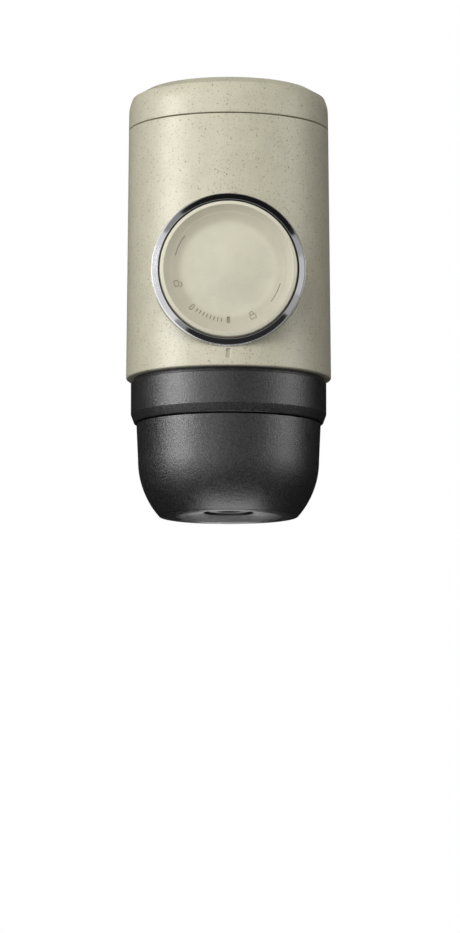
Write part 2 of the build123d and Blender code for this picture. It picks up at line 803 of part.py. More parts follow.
# Push knob: rim, web, skirt and hub in one, with the bayonet lugs at the hub's end
with BuildPart() as knob_shell:
    with BuildSketch(section_plane):
        Polygon(
            (pocket_floor, rod_radius + rod_clearance),
            (pocket_floor, screw_pocket_radius),
            (face_seat, screw_pocket_radius),
            (face_seat, face_radius),
            (knob_front, face_radius),
            (knob_front, knob_radius),
            (knob_skirt_end, knob_radius),
            (knob_skirt_end, knob_radius - knob_wall),
            (knob_web_back, knob_radius - knob_wall),
            (knob_web_back, knob_hub_radius),
            (knob_hub_end, knob_hub_radius),
            (knob_hub_end, rod_radius + rod_clearance),
            align=None,
        )
    revolve(axis=pump_axis)
    rim_edges = knob_shell.edges().filter_by(GeomType.CIRCLE).group_by(Axis.Y)[0]
    fillet(rim_edges, radius=knob_rim_rounding)
    with BuildSketch(face_plane.offset(knob_hub_end + knob_lug_setback)):
        with PolarLocations(rod_radius + knob_wall, knob_lug_count, start_angle=90):
            Rectangle(
                lug_radius - rod_radius - knob_wall,
                knob_lug_width,
                align=(Align.MIN, Align.CENTER),
            )
    extrude(amount=knob_lug_length)
save(knob_shell.part, "knob_shell")

# Face disc, flat at its edge and dished towards the middle
dish_radius = face_radius - knob_face_edge
with BuildPart() as knob_face:
    with BuildSketch(section_plane):
        with BuildLine():
            Polyline(
                (face_front - knob_face_dish, 0),
                (face_seat, 0),
                (face_seat, face_radius - knob_face_clearance),
                (face_front, face_radius - knob_face_clearance),
                (face_front, dish_radius),
            )
            RadiusArc(
                (face_front, dish_radius),
                (face_front - knob_face_dish, 0),
                -tangent_arc_radius(dish_radius, knob_face_dish),
            )
        make_face()
    revolve(axis=pump_axis)
save(knob_face.part, "knob_face")


def screw(head_radius, head_height, shank_radius, shank_length):
    """Round-headed screw with a hexagon socket; the head's underside is at the origin, head up."""
    with BuildPart() as fastener:
        with BuildSketch():
            Circle(head_radius)
        extrude(amount=head_height)
        fillet(fastener.edges().filter_by(GeomType.CIRCLE).group_by(Axis.Z)[-1], radius=head_height / 4)
        with BuildSketch():
            Circle(shank_radius)
        extrude(amount=-shank_length)
        with BuildSketch(Plane.XY.offset(head_height)):
            RegularPolygon(screw_socket_radius, 6)
        extrude(amount=-screw_socket_depth, mode=Mode.SUBTRACT)
    return fastener.part


with BuildPart() as knob_screw:
    with Locations(face_plane.offset(rod_end)):
        add(screw(knob_screw_head_radius, knob_screw_head_height, knob_screw_radius, knob_screw_length))
save(knob_screw.part, "knob_screw")

small_screw = (small_screw_head_radius, small_screw_head_height, small_screw_radius)
with BuildPart() as chassis_screws:
    with Locations(Plane.XY.offset(deck_top)):
        with PolarLocations(chassis_screw_circle_radius, small_screw_count, start_angle=screw_start_angle):
            add(screw(*small_screw, chassis_screw_length))
save(chassis_screws.part, "chassis_screws")

back_plane = Plane(origin=(0, pump_back, pump_height), x_dir=(-1, 0, 0), z_dir=(0, 1, 0))
with BuildPart() as pump_head_screws:
    with Locations(back_plane):
        with PolarLocations(screw_post_circle_radius, small_screw_count, start_angle=screw_start_angle):
            add(screw(*small_screw, head_screw_length))
save(pump_head_screws.part, "pump_head_screws")

# Tank: a vessel that stands mouth down over its seat, under the cream cap with its sloped rim
with BuildPart() as water_tank:
    with BuildSketch(Plane.XY.offset(tank_mouth)):
        Circle(tank_radius)
    extrude(amount=tank_top - tank_mouth)
    with BuildSketch(Plane.XY.offset(tank_mouth)):
        Circle(tank_bore_radius)
    extrude(amount=tank_top - tank_wall - tank_mouth, mode=Mode.SUBTRACT)
save(water_tank.part, "water_tank")

with BuildPart() as tank_seal:
    with BuildSketch(Plane.XY.offset(seat_deck_top)):
        Circle(tank_radius)
        Circle(tank_seat_radius + tank_thread_clearance / 2, mode=Mode.SUBTRACT)
    extrude(amount=tank_seal_thickness)
save(tank_seal.part, "tank_seal")

with BuildPart() as tank_cap:
    with BuildSketch(Plane.XZ):
        Polygon(
            (tank_radius, cap_bottom),
            (shell_high_radius, cap_bottom),
            (cap_top_radius, cap_shoulder),
            (cap_flat_radius, total_height),
            (0, total_height),
            (0, tank_top),
            (tank_radius, tank_top),
            align=None,
        )
    revolve(axis=Axis.Z)
    chamfer(outer_rim(tank_cap, Axis.Z, 0), length=seam_chamfer)
    fillet(outer_rim(tank_cap, Axis.Z, -2), radius=cap_top_rounding)
save(tank_cap.part, "tank_cap")
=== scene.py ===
"""Dressed model of a handheld manual espresso maker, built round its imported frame.

Every length is in metres. The maker stands on its outlet head, +Z is up and the push knob
faces -Y. Round pieces are turned about one of two spindles: the upright one through the body
and the level one through the pump.
"""

import json
import logging
from dataclasses import dataclass
from enum import Enum
from math import asin, atan2, ceil, copysign, cos, pi, radians, sin, sqrt, tan
from typing import Optional, Sequence, Union

import bmesh
import bpy
from mathutils import Matrix, Vector


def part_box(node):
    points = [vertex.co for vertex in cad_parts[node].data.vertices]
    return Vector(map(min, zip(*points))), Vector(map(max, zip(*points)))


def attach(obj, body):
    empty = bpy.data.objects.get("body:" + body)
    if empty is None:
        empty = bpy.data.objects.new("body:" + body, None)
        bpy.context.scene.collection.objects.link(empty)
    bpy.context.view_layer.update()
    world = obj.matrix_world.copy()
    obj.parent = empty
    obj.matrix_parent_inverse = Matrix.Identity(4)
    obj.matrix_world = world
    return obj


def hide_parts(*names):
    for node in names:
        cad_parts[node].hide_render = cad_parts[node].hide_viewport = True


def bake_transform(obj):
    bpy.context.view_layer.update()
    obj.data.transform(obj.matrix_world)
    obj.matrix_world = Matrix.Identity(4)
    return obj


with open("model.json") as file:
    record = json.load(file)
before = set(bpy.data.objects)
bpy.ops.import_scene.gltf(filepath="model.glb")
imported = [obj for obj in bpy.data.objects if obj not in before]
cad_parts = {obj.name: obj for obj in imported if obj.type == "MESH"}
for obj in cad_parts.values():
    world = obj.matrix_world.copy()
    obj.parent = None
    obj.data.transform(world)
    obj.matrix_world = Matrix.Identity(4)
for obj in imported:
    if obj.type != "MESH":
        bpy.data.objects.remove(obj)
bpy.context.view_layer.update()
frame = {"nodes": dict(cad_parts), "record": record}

logging.basicConfig(level=logging.INFO, format="%(message)s")
log = logging.getLogger("espresso_maker")

MM = 0.001
TINY = 1e-6
FULL_TURN = 2 * pi
STRAIGHT = radians(1)
ARC_STEP = radians(9)
SMOOTH_ANGLE = radians(32)
WHITE = (1.0, 1.0, 1.0, 1.0)
FULL = (0.0, 1.0)

# The parts of a noise's range over which an effect comes in
NOISE_SPAN = (0.3, 0.7)
GRAIN_SPAN = (0.35, 0.75)
SHEEN_SPAN = (0.25, 0.75)
BLOOM_SPAN = (0.35, 0.7)

Colour = tuple[float, float, float]
Span = tuple[float, float]
Outline = list[tuple[float, float]]
Socket = bpy.types.NodeSocket
Piece = bpy.types.Object
Finish = bpy.types.Material
Value = Union[Socket, float]
Paint = Union[Socket, Colour]


class Body(Enum):
    """The rigid bodies of the frame that pieces ride on."""

    MAIN = "main_body"
    PISTON = "piston"
    KNOB = "knob"
    TANK = "tank"
    HEAD = "head"


class Join(Enum):
    """What a boolean does with its tool."""

    TAKE = "DIFFERENCE"
    ADD = "UNION"


class Slot(Enum):
    """The record's material slots."""

    CREAM = "cream_shell"
    FACE = "cream_face"
    BLACK = "black_body"
    INNER = "inner_black"
    TANK = "tank_smoke"
    CHROME = "bezel_chrome"
    STEEL = "steel"
    RUBBER = "rubber_grey"
    BARREL = "barrel_white"


# ---------------------------------------------------------------- places read from the frame


@dataclass(frozen=True)
class Room:
    """The box of a round CAD node.

    Attributes:
        radius: Half of its width.
        bottom: Its lowest height.
        top: Its highest height.
        back: Its end inside the pump, as a distance towards the user.
        front: Its end at the user, as a distance towards the user.
    """

    radius: float
    bottom: float
    top: float
    back: float
    front: float

    @classmethod
    def of(cls, node: str) -> "Room":
        """The box of a CAD node."""
        low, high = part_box(node)
        return cls((high[0] - low[0]) / 2, low[2], high[2], -high[1], -low[1])


PUMP_HEIGHT = (Room.of("pump_bezel").bottom + Room.of("pump_bezel").top) / 2

# Sizes that the casing and the pump ring share
SLEEVE_RADIUS = 21.65 * MM
BOSS_FRONT = 30.8 * MM


# ---------------------------------------------------------------- node trees


class NodeSheet:
    """A node tree under construction, for a material, a world or geometry."""

    def __init__(self, tree: bpy.types.NodeTree) -> None:
        """Start on an emptied tree.

        Args:
            tree: The tree that nodes are added to.
        """
        self.tree = tree
        tree.nodes.clear()

    def add(self, kind: str, inputs: Optional[dict] = None, **settings: object) -> bpy.types.Node:
        """Add one node.

        Args:
            kind: The node's type, such as "ShaderNodeMath".
            inputs: Values or output sockets for its inputs, by name or index.
            settings: Properties of the node itself.

        Returns:
            The new node.
        """
        node = self.tree.nodes.new(kind)
        for name, value in settings.items():
            setattr(node, name, value)
        for key, value in (inputs or {}).items():
            self.feed(node.inputs[key], value)
        return node

    def feed(self, socket: Socket, value: object) -> None:
        """Give an input its value.

        Args:
            socket: The input.
            value: A plain value, or an output socket to link.
        """
        if isinstance(value, Socket):
            self.tree.links.new(value, socket)
        else:
            socket.default_value = value

    def maths(self, operation: str, first: Value, second: Value = 0.0) -> Socket:
        """One step of arithmetic; returns its output."""
        return self.add("ShaderNodeMath", {0: first, 1: second}, operation=operation).outputs[0]

    def vector(self, x: Value = 0.0, y: Value = 0.0, z: Value = 0.0) -> Socket:
        """A vector from three values; returns it."""
        return self.add("ShaderNodeCombineXYZ", {0: x, 1: y, 2: z}).outputs[0]


class ShaderSheet(NodeSheet):
    """The node tree of one material, with the steps that the finishes share."""

    def __init__(self, name: str) -> None:
        """Make an empty material.

        Args:
            name: The material's name.
        """
        self.material = bpy.data.materials.new(name)
        self.material.use_nodes = True
        super().__init__(self.material.node_tree)
        self.place = self.add("ShaderNodeTexCoord").outputs["Object"]

    def noise(self, grain: float, detail: float = 2.0, roughness: float = 0.5) -> Socket:
        """Soft noise whose lumps are about grain metres wide; returns a value round 0.5."""
        values = {"Vector": self.place, "Scale": 1.0 / grain, "Detail": detail, "Roughness": roughness}
        return self.add("ShaderNodeTexNoise", values).outputs["Fac"]

    def track(self, level: bool) -> tuple[Socket, Socket]:
        """Find where the surface lies round one of the two spindles.

        Args:
            level: Whether to take the pump's level spindle instead of the upright one.

        Returns:
            The distance from the spindle, and the place along its axis of the maker's frame.
        """
        x, y, z = self.add("ShaderNodeSeparateXYZ", {0: self.place}).outputs
        flat = self.vector(x, self.maths("SUBTRACT", z, PUMP_HEIGHT) if level else y)
        reach = self.add("ShaderNodeVectorMath", {0: flat}, operation="LENGTH").outputs["Value"]
        return reach, y if level else z

    def remap(self, value: Value, given: Span, wanted: Span) -> Socket:
        """Stretch a value from one range to another, held at both ends; returns it."""
        values = dict(enumerate((value, *given, *wanted)))
        return self.add("ShaderNodeMapRange", values, interpolation_type="SMOOTHSTEP").outputs[0]

    def tint(self, amount: Value, base: Paint, over: Colour) -> Socket:
        """Mix a colour over another.

        Args:
            amount: How much of it, from 0 to 1.
            base: The colour underneath.
            over: The colour on top.

        Returns:
            The mixed colour.
        """
        # A Mix node's colours are its inputs 6 and 7 and its output 2
        node = self.add("ShaderNodeMix", data_type="RGBA")
        self.feed(node.inputs[0], amount)
        self.feed(node.inputs[6], base if isinstance(base, Socket) else (*base, 1.0))
        self.feed(node.inputs[7], (*over, 1.0))
        return node.outputs[2]

    def relief(self, height: Value, depth: float) -> Socket:
        """Turn a height from 0 to 1 into a bump of that depth in metres; returns the normal."""
        values = {"Height": height, "Distance": depth, "Strength": 1.0}
        return self.add("ShaderNodeBump", values).outputs["Normal"]

    def close(self, shader: bpy.types.Node) -> Finish:
        """Put a shader on the surface; returns the finished material."""
        self.add("ShaderNodeOutputMaterial", {"Surface": shader.outputs[0]})
        return self.material

    def finish(self, **values: object) -> Finish:
        """Close the tree with one Principled shader.

        Args:
            values: Inputs of the shader, with underscores for the spaces in their names.

        Returns:
            The finished material.
        """
        shader = self.add("ShaderNodeBsdfPrincipled")
        for key, value in values.items():
            colour = isinstance(value, tuple) and len(value) == 3
            self.feed(shader.inputs[key.replace("_", " ")], (*value, 1.0) if colour else value)
        return self.close(shader)


# ---------------------------------------------------------------- kinds of finish


def shaded(colour: Colour, factor: float) -> Colour:
    """A colour made lighter or darker by a factor, held at white."""
    return tuple(min(1.0, part * factor) for part in colour)


@dataclass(frozen=True)
class Specks:
    """One size of speck in a moulded plastic.

    Attributes:
        cell: Size of the cells that hold one speck each, in metres.
        radius: Radius of the largest specks, in metres.
        share: Share of the cells that hold one.
        strength: How far the darkest cover the plastic, from 0 to 1.
        smallest: Radius of the smallest, as a share of the largest.
        palest: Strength of the palest, as a share of the darkest.
        core: Share of a speck's radius inside its soft edge.
        ragged: Waves of a speck's outline in the length of its radius.
    """

    cell: float
    radius: float
    share: float
    strength: float
    smallest: float = 0.45
    palest: float = 0.35
    core: float = 0.4
    ragged: float = 1.2

    def scatter(self, sheet: ShaderSheet) -> Socket:
        """Scatter the specks through the plastic.

        Args:
            sheet: The material's node tree.

        Returns:
            Their strength at the surface, from 0 to 1.
        """
        waves = {"Vector": sheet.place, "Scale": self.ragged / self.radius}
        wobble = sheet.add("ShaderNodeTexNoise", waves).outputs["Color"]
        shift = {0: wobble, 1: (self.radius,) * 3, 2: sheet.place}
        bent = sheet.add("ShaderNodeVectorMath", shift, operation="MULTIPLY_ADD").outputs[0]
        cells = sheet.add("ShaderNodeTexVoronoi", {"Vector": bent, "Scale": 1.0 / self.cell})
        parts = sheet.add("ShaderNodeSeparateColor", {0: cells.outputs["Color"]}).outputs
        largest = self.radius / self.cell
        size = sheet.remap(parts[0], FULL, (self.smallest * largest, largest))
        edge = sheet.maths("DIVIDE", cells.outputs["Distance"], size)
        dot = sheet.remap(edge, (self.core, 1.0), (1.0, 0.0))
        chosen = sheet.maths("LESS_THAN", parts[1], self.share)
        depth = sheet.remap(parts[2], FULL, (self.palest * self.strength, self.strength))
        return sheet.maths("MULTIPLY", sheet.maths("MULTIPLY", dot, chosen), depth)


@dataclass(frozen=True)
class SpeckledPlastic:
    """Cream moulded plastic with fibre specks of three sizes, satin, with a faint grain.

    Attributes:
        name: The material's name.
        colour: The plastic's colour.
        speck: The specks' colour.
        specks: The sizes of speck.
        roughness: Its roughness between the grains.
        gloss: Its specular level.
        cloud: Size of its faint clouds.
        cloud_shade: How dark the clouds are, as a factor.
        grain: Size of its grain.
        grain_depth: Depth of its grain.
        grain_tint: How far the grain takes the specks' colour.
        grain_dull: How far the grain changes the roughness, up and down.
        slope_shade_paint: Strength of the painted shade on the slope round the knob's face, in the specks'
            colour.
        slope: Where that painted shade starts and ends, as distances from the pump's spindle.
        rim_colour: Colour of the knob's rim, which has no specks.
        rim_reach: Where the rim ends, as a distance from the pump's spindle.
        rim_back: Where the rim ends towards the back.
    """

    name: str
    colour: Colour
    speck: Colour
    specks: tuple[Specks, ...] = (
        Specks(0.65 * MM, 0.3 * MM, 0.85, 0.44),
        Specks(0.95 * MM, 0.36 * MM, 0.65, 0.64),
        Specks(1.4 * MM, 0.36 * MM, 0.5, 0.88),
    )
    roughness: float = 0.4
    gloss: float = 0.43
    cloud: float = 5.0 * MM
    cloud_shade: float = 0.94
    grain: float = 0.3 * MM
    grain_depth: float = 0.012 * MM
    grain_tint: float = 0.12
    grain_dull: float = 0.06
    slope_shade_paint: float = 0.0
    slope: Span = (13.2 * MM, 15.4 * MM)
    rim_colour: Optional[Colour] = None
    rim_reach: float = 20.55 * MM
    rim_back: float = -31.5 * MM

    def material(self) -> Finish:
        """Build the material.

        Returns:
            The material: clouds, specks, painted shade on the knob's slope, the rim, and the grain over
                them.
        """
        sheet = ShaderSheet(self.name)
        cloud = sheet.remap(sheet.noise(self.cloud, detail=4.0), NOISE_SPAN, FULL)
        colour = sheet.tint(cloud, self.colour, shaded(self.colour, self.cloud_shade))
        for specks in self.specks:
            colour = sheet.tint(specks.scatter(sheet), colour, self.speck)
        # Painted shade: the slope round the knob's face darkens towards the rim, standing in for the shade
        # of the hollow
        if self.slope_shade_paint > 0.0:
            reach, _ = sheet.track(level=True)
            colour = sheet.tint(sheet.remap(reach, self.slope, (0.0, self.slope_shade_paint)), colour, self.speck)
        if self.rim_colour:
            reach, along = sheet.track(level=True)
            within = sheet.maths("LESS_THAN", reach, self.rim_reach)
            rim = sheet.maths("MULTIPLY", within, sheet.maths("LESS_THAN", along, self.rim_back))
            colour = sheet.tint(rim, colour, self.rim_colour)
        grain = sheet.noise(self.grain, detail=3.0, roughness=0.7)
        colour = sheet.tint(sheet.remap(grain, GRAIN_SPAN, (0.0, self.grain_tint)), colour, self.speck)
        dull = (self.roughness - self.grain_dull, self.roughness + self.grain_dull)
        return sheet.finish(
            Base_Color=colour,
            Roughness=sheet.remap(grain, SHEEN_SPAN, dull),
            Normal=sheet.relief(grain, self.grain_depth),
            Specular_IOR_Level=self.gloss,
        )


@dataclass(frozen=True)
class GrainedPlastic:
    """Moulded plastic of one colour with a spark-eroded grain that glitters in the highlights.

    Attributes:
        name: The material's name.
        colour: The plastic's colour.
        roughness: Its middle roughness.
        grain: Size of its grain.
        grain_depth: Depth of its grain.
        grain_dull: How far the grain changes the roughness, up and down.
        contrast: How far the grain changes the colour, up and down, as a share.
        gloss: Its middle specular level.
        glitter: How far the grain changes the gloss, up and down, as a share.
        cloud: Size of its faint duller patches.
        cloud_dull: How far the patches change the roughness, up and down.
    """

    name: str
    colour: Colour
    roughness: float = 0.4
    grain: float = 0.5 * MM
    grain_depth: float = 0.1 * MM
    grain_dull: float = 0.07
    contrast: float = 0.3
    gloss: float = 0.5
    glitter: float = 0.22
    cloud: float = 14.0 * MM
    cloud_dull: float = 0.02

    def material(self) -> Finish:
        """Build the material.

        Returns:
            The material, with its grain in colour, gloss and relief.
        """
        sheet = ShaderSheet(self.name)
        grain = sheet.noise(self.grain, detail=3.0, roughness=0.65)
        dark, pale = shaded(self.colour, 1 - self.contrast), shaded(self.colour, 1 + self.contrast)
        dull = (self.roughness - self.grain_dull, self.roughness + self.grain_dull)
        patch = sheet.remap(sheet.noise(self.cloud), NOISE_SPAN, (-self.cloud_dull, self.cloud_dull))
        gloss = (self.gloss * (1 - self.glitter), self.gloss * (1 + self.glitter))
        return sheet.finish(
            Base_Color=sheet.tint(sheet.remap(grain, NOISE_SPAN, FULL), dark, pale),
            Roughness=sheet.maths("ADD", sheet.remap(grain, NOISE_SPAN, dull), patch),
            Normal=sheet.relief(grain, self.grain_depth),
            Specular_IOR_Level=sheet.remap(grain, NOISE_SPAN, gloss),
        )


@dataclass(frozen=True)
class TurnedMetal:
    """Metal turned on a lathe, with hair lines round the spindle it was turned on.

    Attributes:
        name: The material's name.
        colour: The metal's colour.
        roughness: Its middle roughness.
        line: Distance between the hair lines.
        line_depth: Depth of the hair lines.
        level: Whether it was turned on the pump's spindle instead of the upright one.
        smear: Size of the smears on its polish.
        wear: The smears' least and most roughness, as factors.
    """

    name: str
    colour: Colour
    roughness: float = 0.12
    line: float = 0.05 * MM
    line_depth: float = 0.0008 * MM
    level: bool = False
    smear: float = 6.0 * MM
    wear: Span = (0.8, 1.35)

    def material(self) -> Finish:
        """Build the material.

        Returns:
            The material, with its hair lines and smears.
        """
        sheet = ShaderSheet(self.name)
        track = {"Vector": sheet.vector(*sheet.track(self.level)), "Scale": 1.0 / self.line, "Detail": 2.0}
        lines = sheet.add("ShaderNodeTexNoise", track).outputs["Fac"]
        dull = (self.roughness * self.wear[0], self.roughness * self.wear[1])
        return sheet.finish(
            Base_Color=self.colour,
            Metallic=1.0,
            Roughness=sheet.remap(sheet.noise(self.smear, detail=3.0), NOISE_SPAN, dull),
            Normal=sheet.relief(lines, self.line_depth),
        )


@dataclass(frozen=True)
class SoftRubber:
    """Matt silicone rubber with a dusty bloom.

    Attributes:
        name: The material's name.
        colour: The rubber's colour.
        roughness: Its roughness.
        gloss: Its specular level.
        bloom: Size of the bloom's patches.
        bloom_shade: How pale the bloom is, as a factor.
        bloom_cover: How far the bloom covers the rubber, from 0 to 1.
        pore: Size of its pores.
        pore_depth: Depth of its pores.
    """

    name: str
    colour: Colour
    roughness: float = 0.62
    gloss: float = 0.35
    bloom: float = 1.4 * MM
    bloom_shade: float = 1.5
    bloom_cover: float = 0.35
    pore: float = 0.12 * MM
    pore_depth: float = 0.006 * MM

    def material(self) -> Finish:
        """Build the material.

        Returns:
            The material, with its bloom and pores.
        """
        sheet = ShaderSheet(self.name)
        bloom = sheet.remap(sheet.noise(self.bloom, detail=4.0), BLOOM_SPAN, (0.0, self.bloom_cover))
        return sheet.finish(
            Base_Color=sheet.tint(bloom, self.colour, shaded(self.colour, self.bloom_shade)),
            Roughness=self.roughness,
            Normal=sheet.relief(sheet.noise(self.pore), self.pore_depth),
            Specular_IOR_Level=self.gloss,
        )


@dataclass(frozen=True)
class SmokedPlastic:
    """Clear plastic with a smoke tint, lightly scuffed.

    Attributes:
        name: The material's name.
        colour: The tint.
        roughness: Its roughness where it isn't scuffed.
        ior: Its refraction.
        clearness: Share of the light that passes into it.
        scuff: Size of the scuffs.
        scuff_dull: How much rougher the scuffs are.
        scuff_depth: Depth of the scuffs.
        cloud: Size of its faint clouds.
        cloud_shade: How dark the clouds are, as a factor.
        cloud_cover: How far the clouds cover the plastic, from 0 to 1.
    """

    name: str
    colour: Colour
    roughness: float = 0.14
    ior: float = 1.5
    clearness: float = 0.85
    scuff: float = 3.0 * MM
    scuff_dull: float = 0.16
    scuff_depth: float = 0.004 * MM
    cloud: float = 20.0 * MM
    cloud_shade: float = 0.8
    cloud_cover: float = 0.15

    def material(self) -> Finish:
        """Build the material.

        Returns:
            The material, with its scuffs and clouds.
        """
        sheet = ShaderSheet(self.name)
        scuff = sheet.noise(self.scuff, detail=4.0, roughness=0.6)
        cloud = sheet.remap(sheet.noise(self.cloud), NOISE_SPAN, (0.0, self.cloud_cover))
        return sheet.finish(
            Base_Color=sheet.tint(cloud, self.colour, shaded(self.colour, self.cloud_shade)),
            Roughness=sheet.remap(scuff, GRAIN_SPAN, (self.roughness, self.roughness + self.scuff_dull)),
            IOR=self.ior,
            Transmission_Weight=self.clearness,
            Normal=sheet.relief(scuff, self.scuff_depth),
        )


# ---------------------------------------------------------------- outlines and turning


@dataclass(frozen=True)
class Corner:
    """A corner of a closed outline.

    Attributes:
        out: Distance from the spindle, in metres.
        along: Place along the spindle, in metres.
        rounding: Radius of the corner's rounding, in metres.
    """

    out: float
    along: float
    rounding: float = 0.0

    def spot(self) -> Vector:
        """The corner as (out, along)."""
        return Vector((self.out, self.along))


def rounded(corners: Sequence[Corner], arc_step: float = ARC_STEP) -> list[Vector]:
    """Round the corners of a closed outline.

    Args:
        corners: The outline's corners in order.
        arc_step: Largest turn between two points of a rounding.

    Returns:
        The outline's points, as (out, along).
    """
    points: list[Vector] = []
    for index, corner in enumerate(corners):
        here = corner.spot()
        before = corners[index - 1].spot() - here
        after = corners[(index + 1) % len(corners)].spot() - here
        inside = before.angle(after)
        turn = pi - inside
        if corner.rounding <= 0.0 or turn < STRAIGHT:
            points.append(here)
            continue
        setback = corner.rounding / tan(inside / 2)
        inward = (before.normalized() + after.normalized()).normalized()
        centre = here + inward * (corner.rounding / sin(inside / 2))
        start = here + before.normalized() * setback - centre
        end = here + after.normalized() * setback - centre
        steps = max(2, ceil(turn / arc_step))
        sweep = start.angle_signed(end)
        for step in range(steps + 1):
            points.append(centre + Matrix.Rotation(-sweep * step / steps, 2) @ start)
    return points


def divided(points: Sequence[Vector], step: float) -> list[Vector]:
    """Add points along the long straight runs of a closed outline.

    Args:
        points: The outline's points.
        step: Longest distance between two points.

    Returns:
        The outline with its added points.
    """
    filled = []
    for index, point in enumerate(points):
        following = points[(index + 1) % len(points)]
        pieces = max(1, ceil((following - point).length / step))
        filled += [point.lerp(following, part / pieces) for part in range(pieces)]
    return filled


def arc_corners(centre: Vector, radius: float, start: float, end: float, steps: int) -> list[Corner]:
    """Corners along an arc, with angles measured from the outward direction."""
    angles = [start + (end - start) * step / steps for step in range(steps + 1)]
    return [Corner(centre.x + radius * cos(a), centre.y + radius * sin(a)) for a in angles]


@dataclass(frozen=True)
class Spindle:
    """A line that outlines are turned round.

    Attributes:
        base: Its starting point.
        along: Its direction.
        across: The direction in which the angle round it is nothing.
    """

    base: Vector
    along: Vector
    across: Vector

    def point(self, out: float, along: float, angle: float = 0.0) -> Vector:
        """A place near the spindle.

        Args:
            out: Its distance from the spindle.
            along: How far it lies along the spindle.
            angle: Its angle round the spindle.

        Returns:
            The place.
        """
        side = self.along.cross(self.across)
        ring = self.across * cos(angle) + side * sin(angle)
        return self.base + self.along * along + ring * out

    def carry(self, piece: Piece) -> None:
        """Move what stands round the Z axis so that it stands round the spindle instead.

        Args:
            piece: The piece whose mesh is moved.
        """
        side = self.along.cross(self.across)
        turned = Matrix((self.across, side, self.along)).transposed().to_4x4()
        piece.data.transform(Matrix.Translation(self.base) @ turned)

    def turn(self, name: str, outline: Sequence[Vector], segments: int = 224) -> Piece:
        """Turn a closed outline into a solid of revolution.

        Args:
            name: The piece's name.
            outline: Points as (out, along).
            segments: Number of steps round the spindle.

        Returns:
            The piece, smooth except at its sharp edges.
        """
        shape = bmesh.new()
        step = FULL_TURN / segments
        rings = []
        for out, along in outline:
            count = 1 if out < TINY else segments
            rings.append([shape.verts.new(self.point(out, along, i * step)) for i in range(count)])
        for lower, upper in zip(rings, rings[1:] + rings[:1]):
            # A ring on the spindle is a single point, and the faces at it are triangles
            low, high = len(lower), len(upper)
            for i in range(segments):
                near = (i + 1) % segments
                corners = (lower[i % low], lower[near % low], upper[near % high], upper[i % high])
                apart = list(dict.fromkeys(corners))
                if len(apart) > 2:
                    shape.faces.new(apart)
        return solid(name, shape)

    def lathe(
        self,
        name: str,
        corners: Sequence[Corner],
        grid: float,
        segments: int = 224,
        arc_step: float = ARC_STEP,
    ) -> Piece:
        """Round the corners of a closed outline and turn it.

        Args:
            name: The piece's name.
            corners: The outline's corners.
            grid: Longest step along its straight runs.
            segments: Number of steps round the spindle.
            arc_step: Largest turn between two points of a rounding.

        Returns:
            The piece.
        """
        return self.turn(name, divided(rounded(corners, arc_step), grid), segments)


UPRIGHT = Spindle(Vector((0, 0, 0)), Vector((0, 0, 1)), Vector((1, 0, 0)))
PUMP = Spindle(Vector((0, 0, PUMP_HEIGHT)), Vector((0, -1, 0)), Vector((1, 0, 0)))
FACING = Matrix((Vector((1, 0, 0)), Vector((0, 0, 1)), Vector((0, -1, 0)))).transposed().to_4x4()


def solid(name: str, shape: bmesh.types.BMesh) -> Piece:
    """Turn a closed bmesh into an object.

    Args:
        name: The object's name.
        shape: The bmesh, which is used up.

    Returns:
        The object, with its faces outwards and shaded smooth.
    """
    bmesh.ops.recalc_face_normals(shape, faces=shape.faces[:])
    mesh = bpy.data.meshes.new(name)
    shape.to_mesh(mesh)
    shape.free()
    piece = linked(name, mesh)
    smooth(piece)
    return piece


def linked(name: str, data: bpy.types.ID) -> Piece:
    """Put a mesh, light or camera in the scene as an object.

    Args:
        name: The object's name.
        data: What it shows.

    Returns:
        The object.
    """
    piece = bpy.data.objects.new(name, data)
    bpy.context.collection.objects.link(piece)
    return piece


def smooth(piece: Piece) -> None:
    """Shade a piece smooth, with its sharp edges kept."""
    piece.data.shade_smooth()
    piece.data.set_sharp_from_angle(angle=SMOOTH_ANGLE)


def bake(piece: Piece, modifier: bpy.types.Modifier) -> None:
    """Replace a piece's mesh by what its modifier makes of it.

    Args:
        piece: The piece, which is shaded smooth afterwards.
        modifier: Its only modifier, which is removed.
    """
    graph = bpy.context.evaluated_depsgraph_get()
    fixed = bpy.data.meshes.new_from_object(piece.evaluated_get(graph), depsgraph=graph)
    piece.modifiers.remove(modifier)
    old = piece.data
    piece.data = fixed
    bpy.data.meshes.remove(old)
    smooth(piece)


def cut(piece: Piece, tool: Piece, join: Join = Join.TAKE, inked: bool = False) -> None:
    """Cut a tool out of a piece or add it to it, and delete the tool.

    Args:
        piece: The piece that changes.
        tool: A closed object.
        join: Whether the tool is taken away or added.
        inked: Whether the new faces keep the tool's material: ink for the knob's marks, painted shade for
            the index mark's floor.
    """
    modifier = piece.modifiers.new("cut", "BOOLEAN")
    modifier.material_mode = "TRANSFER" if inked else "INDEX"
    modifier.operation = join.value
    modifier.solver = "EXACT"
    modifier.object = tool
    bake(piece, modifier)
    bpy.data.objects.remove(tool)


def cylinder(radius: float, bottom: float, top: float) -> list[Vector]:
    """The outline of a solid cylinder, as (out, along)."""
    return [Vector((0, bottom)), Vector((radius, bottom)), Vector((radius, top)), Vector((0, top))]


def bar_outline(width: float, length: float, steps: int) -> Outline:
    """The outline of an upright bar with round ends.

    Args:
        width: Its width.
        length: Its length, ends included.
        steps: Steps in each end's half circle.

    Returns:
        Points round it, as (across, up).
    """
    half, rise = width / 2, (length - width) / 2
    upper = [(half * cos(pi * i / steps), rise + half * sin(pi * i / steps)) for i in range(steps + 1)]
    return upper + [(-across, -up) for across, up in upper]


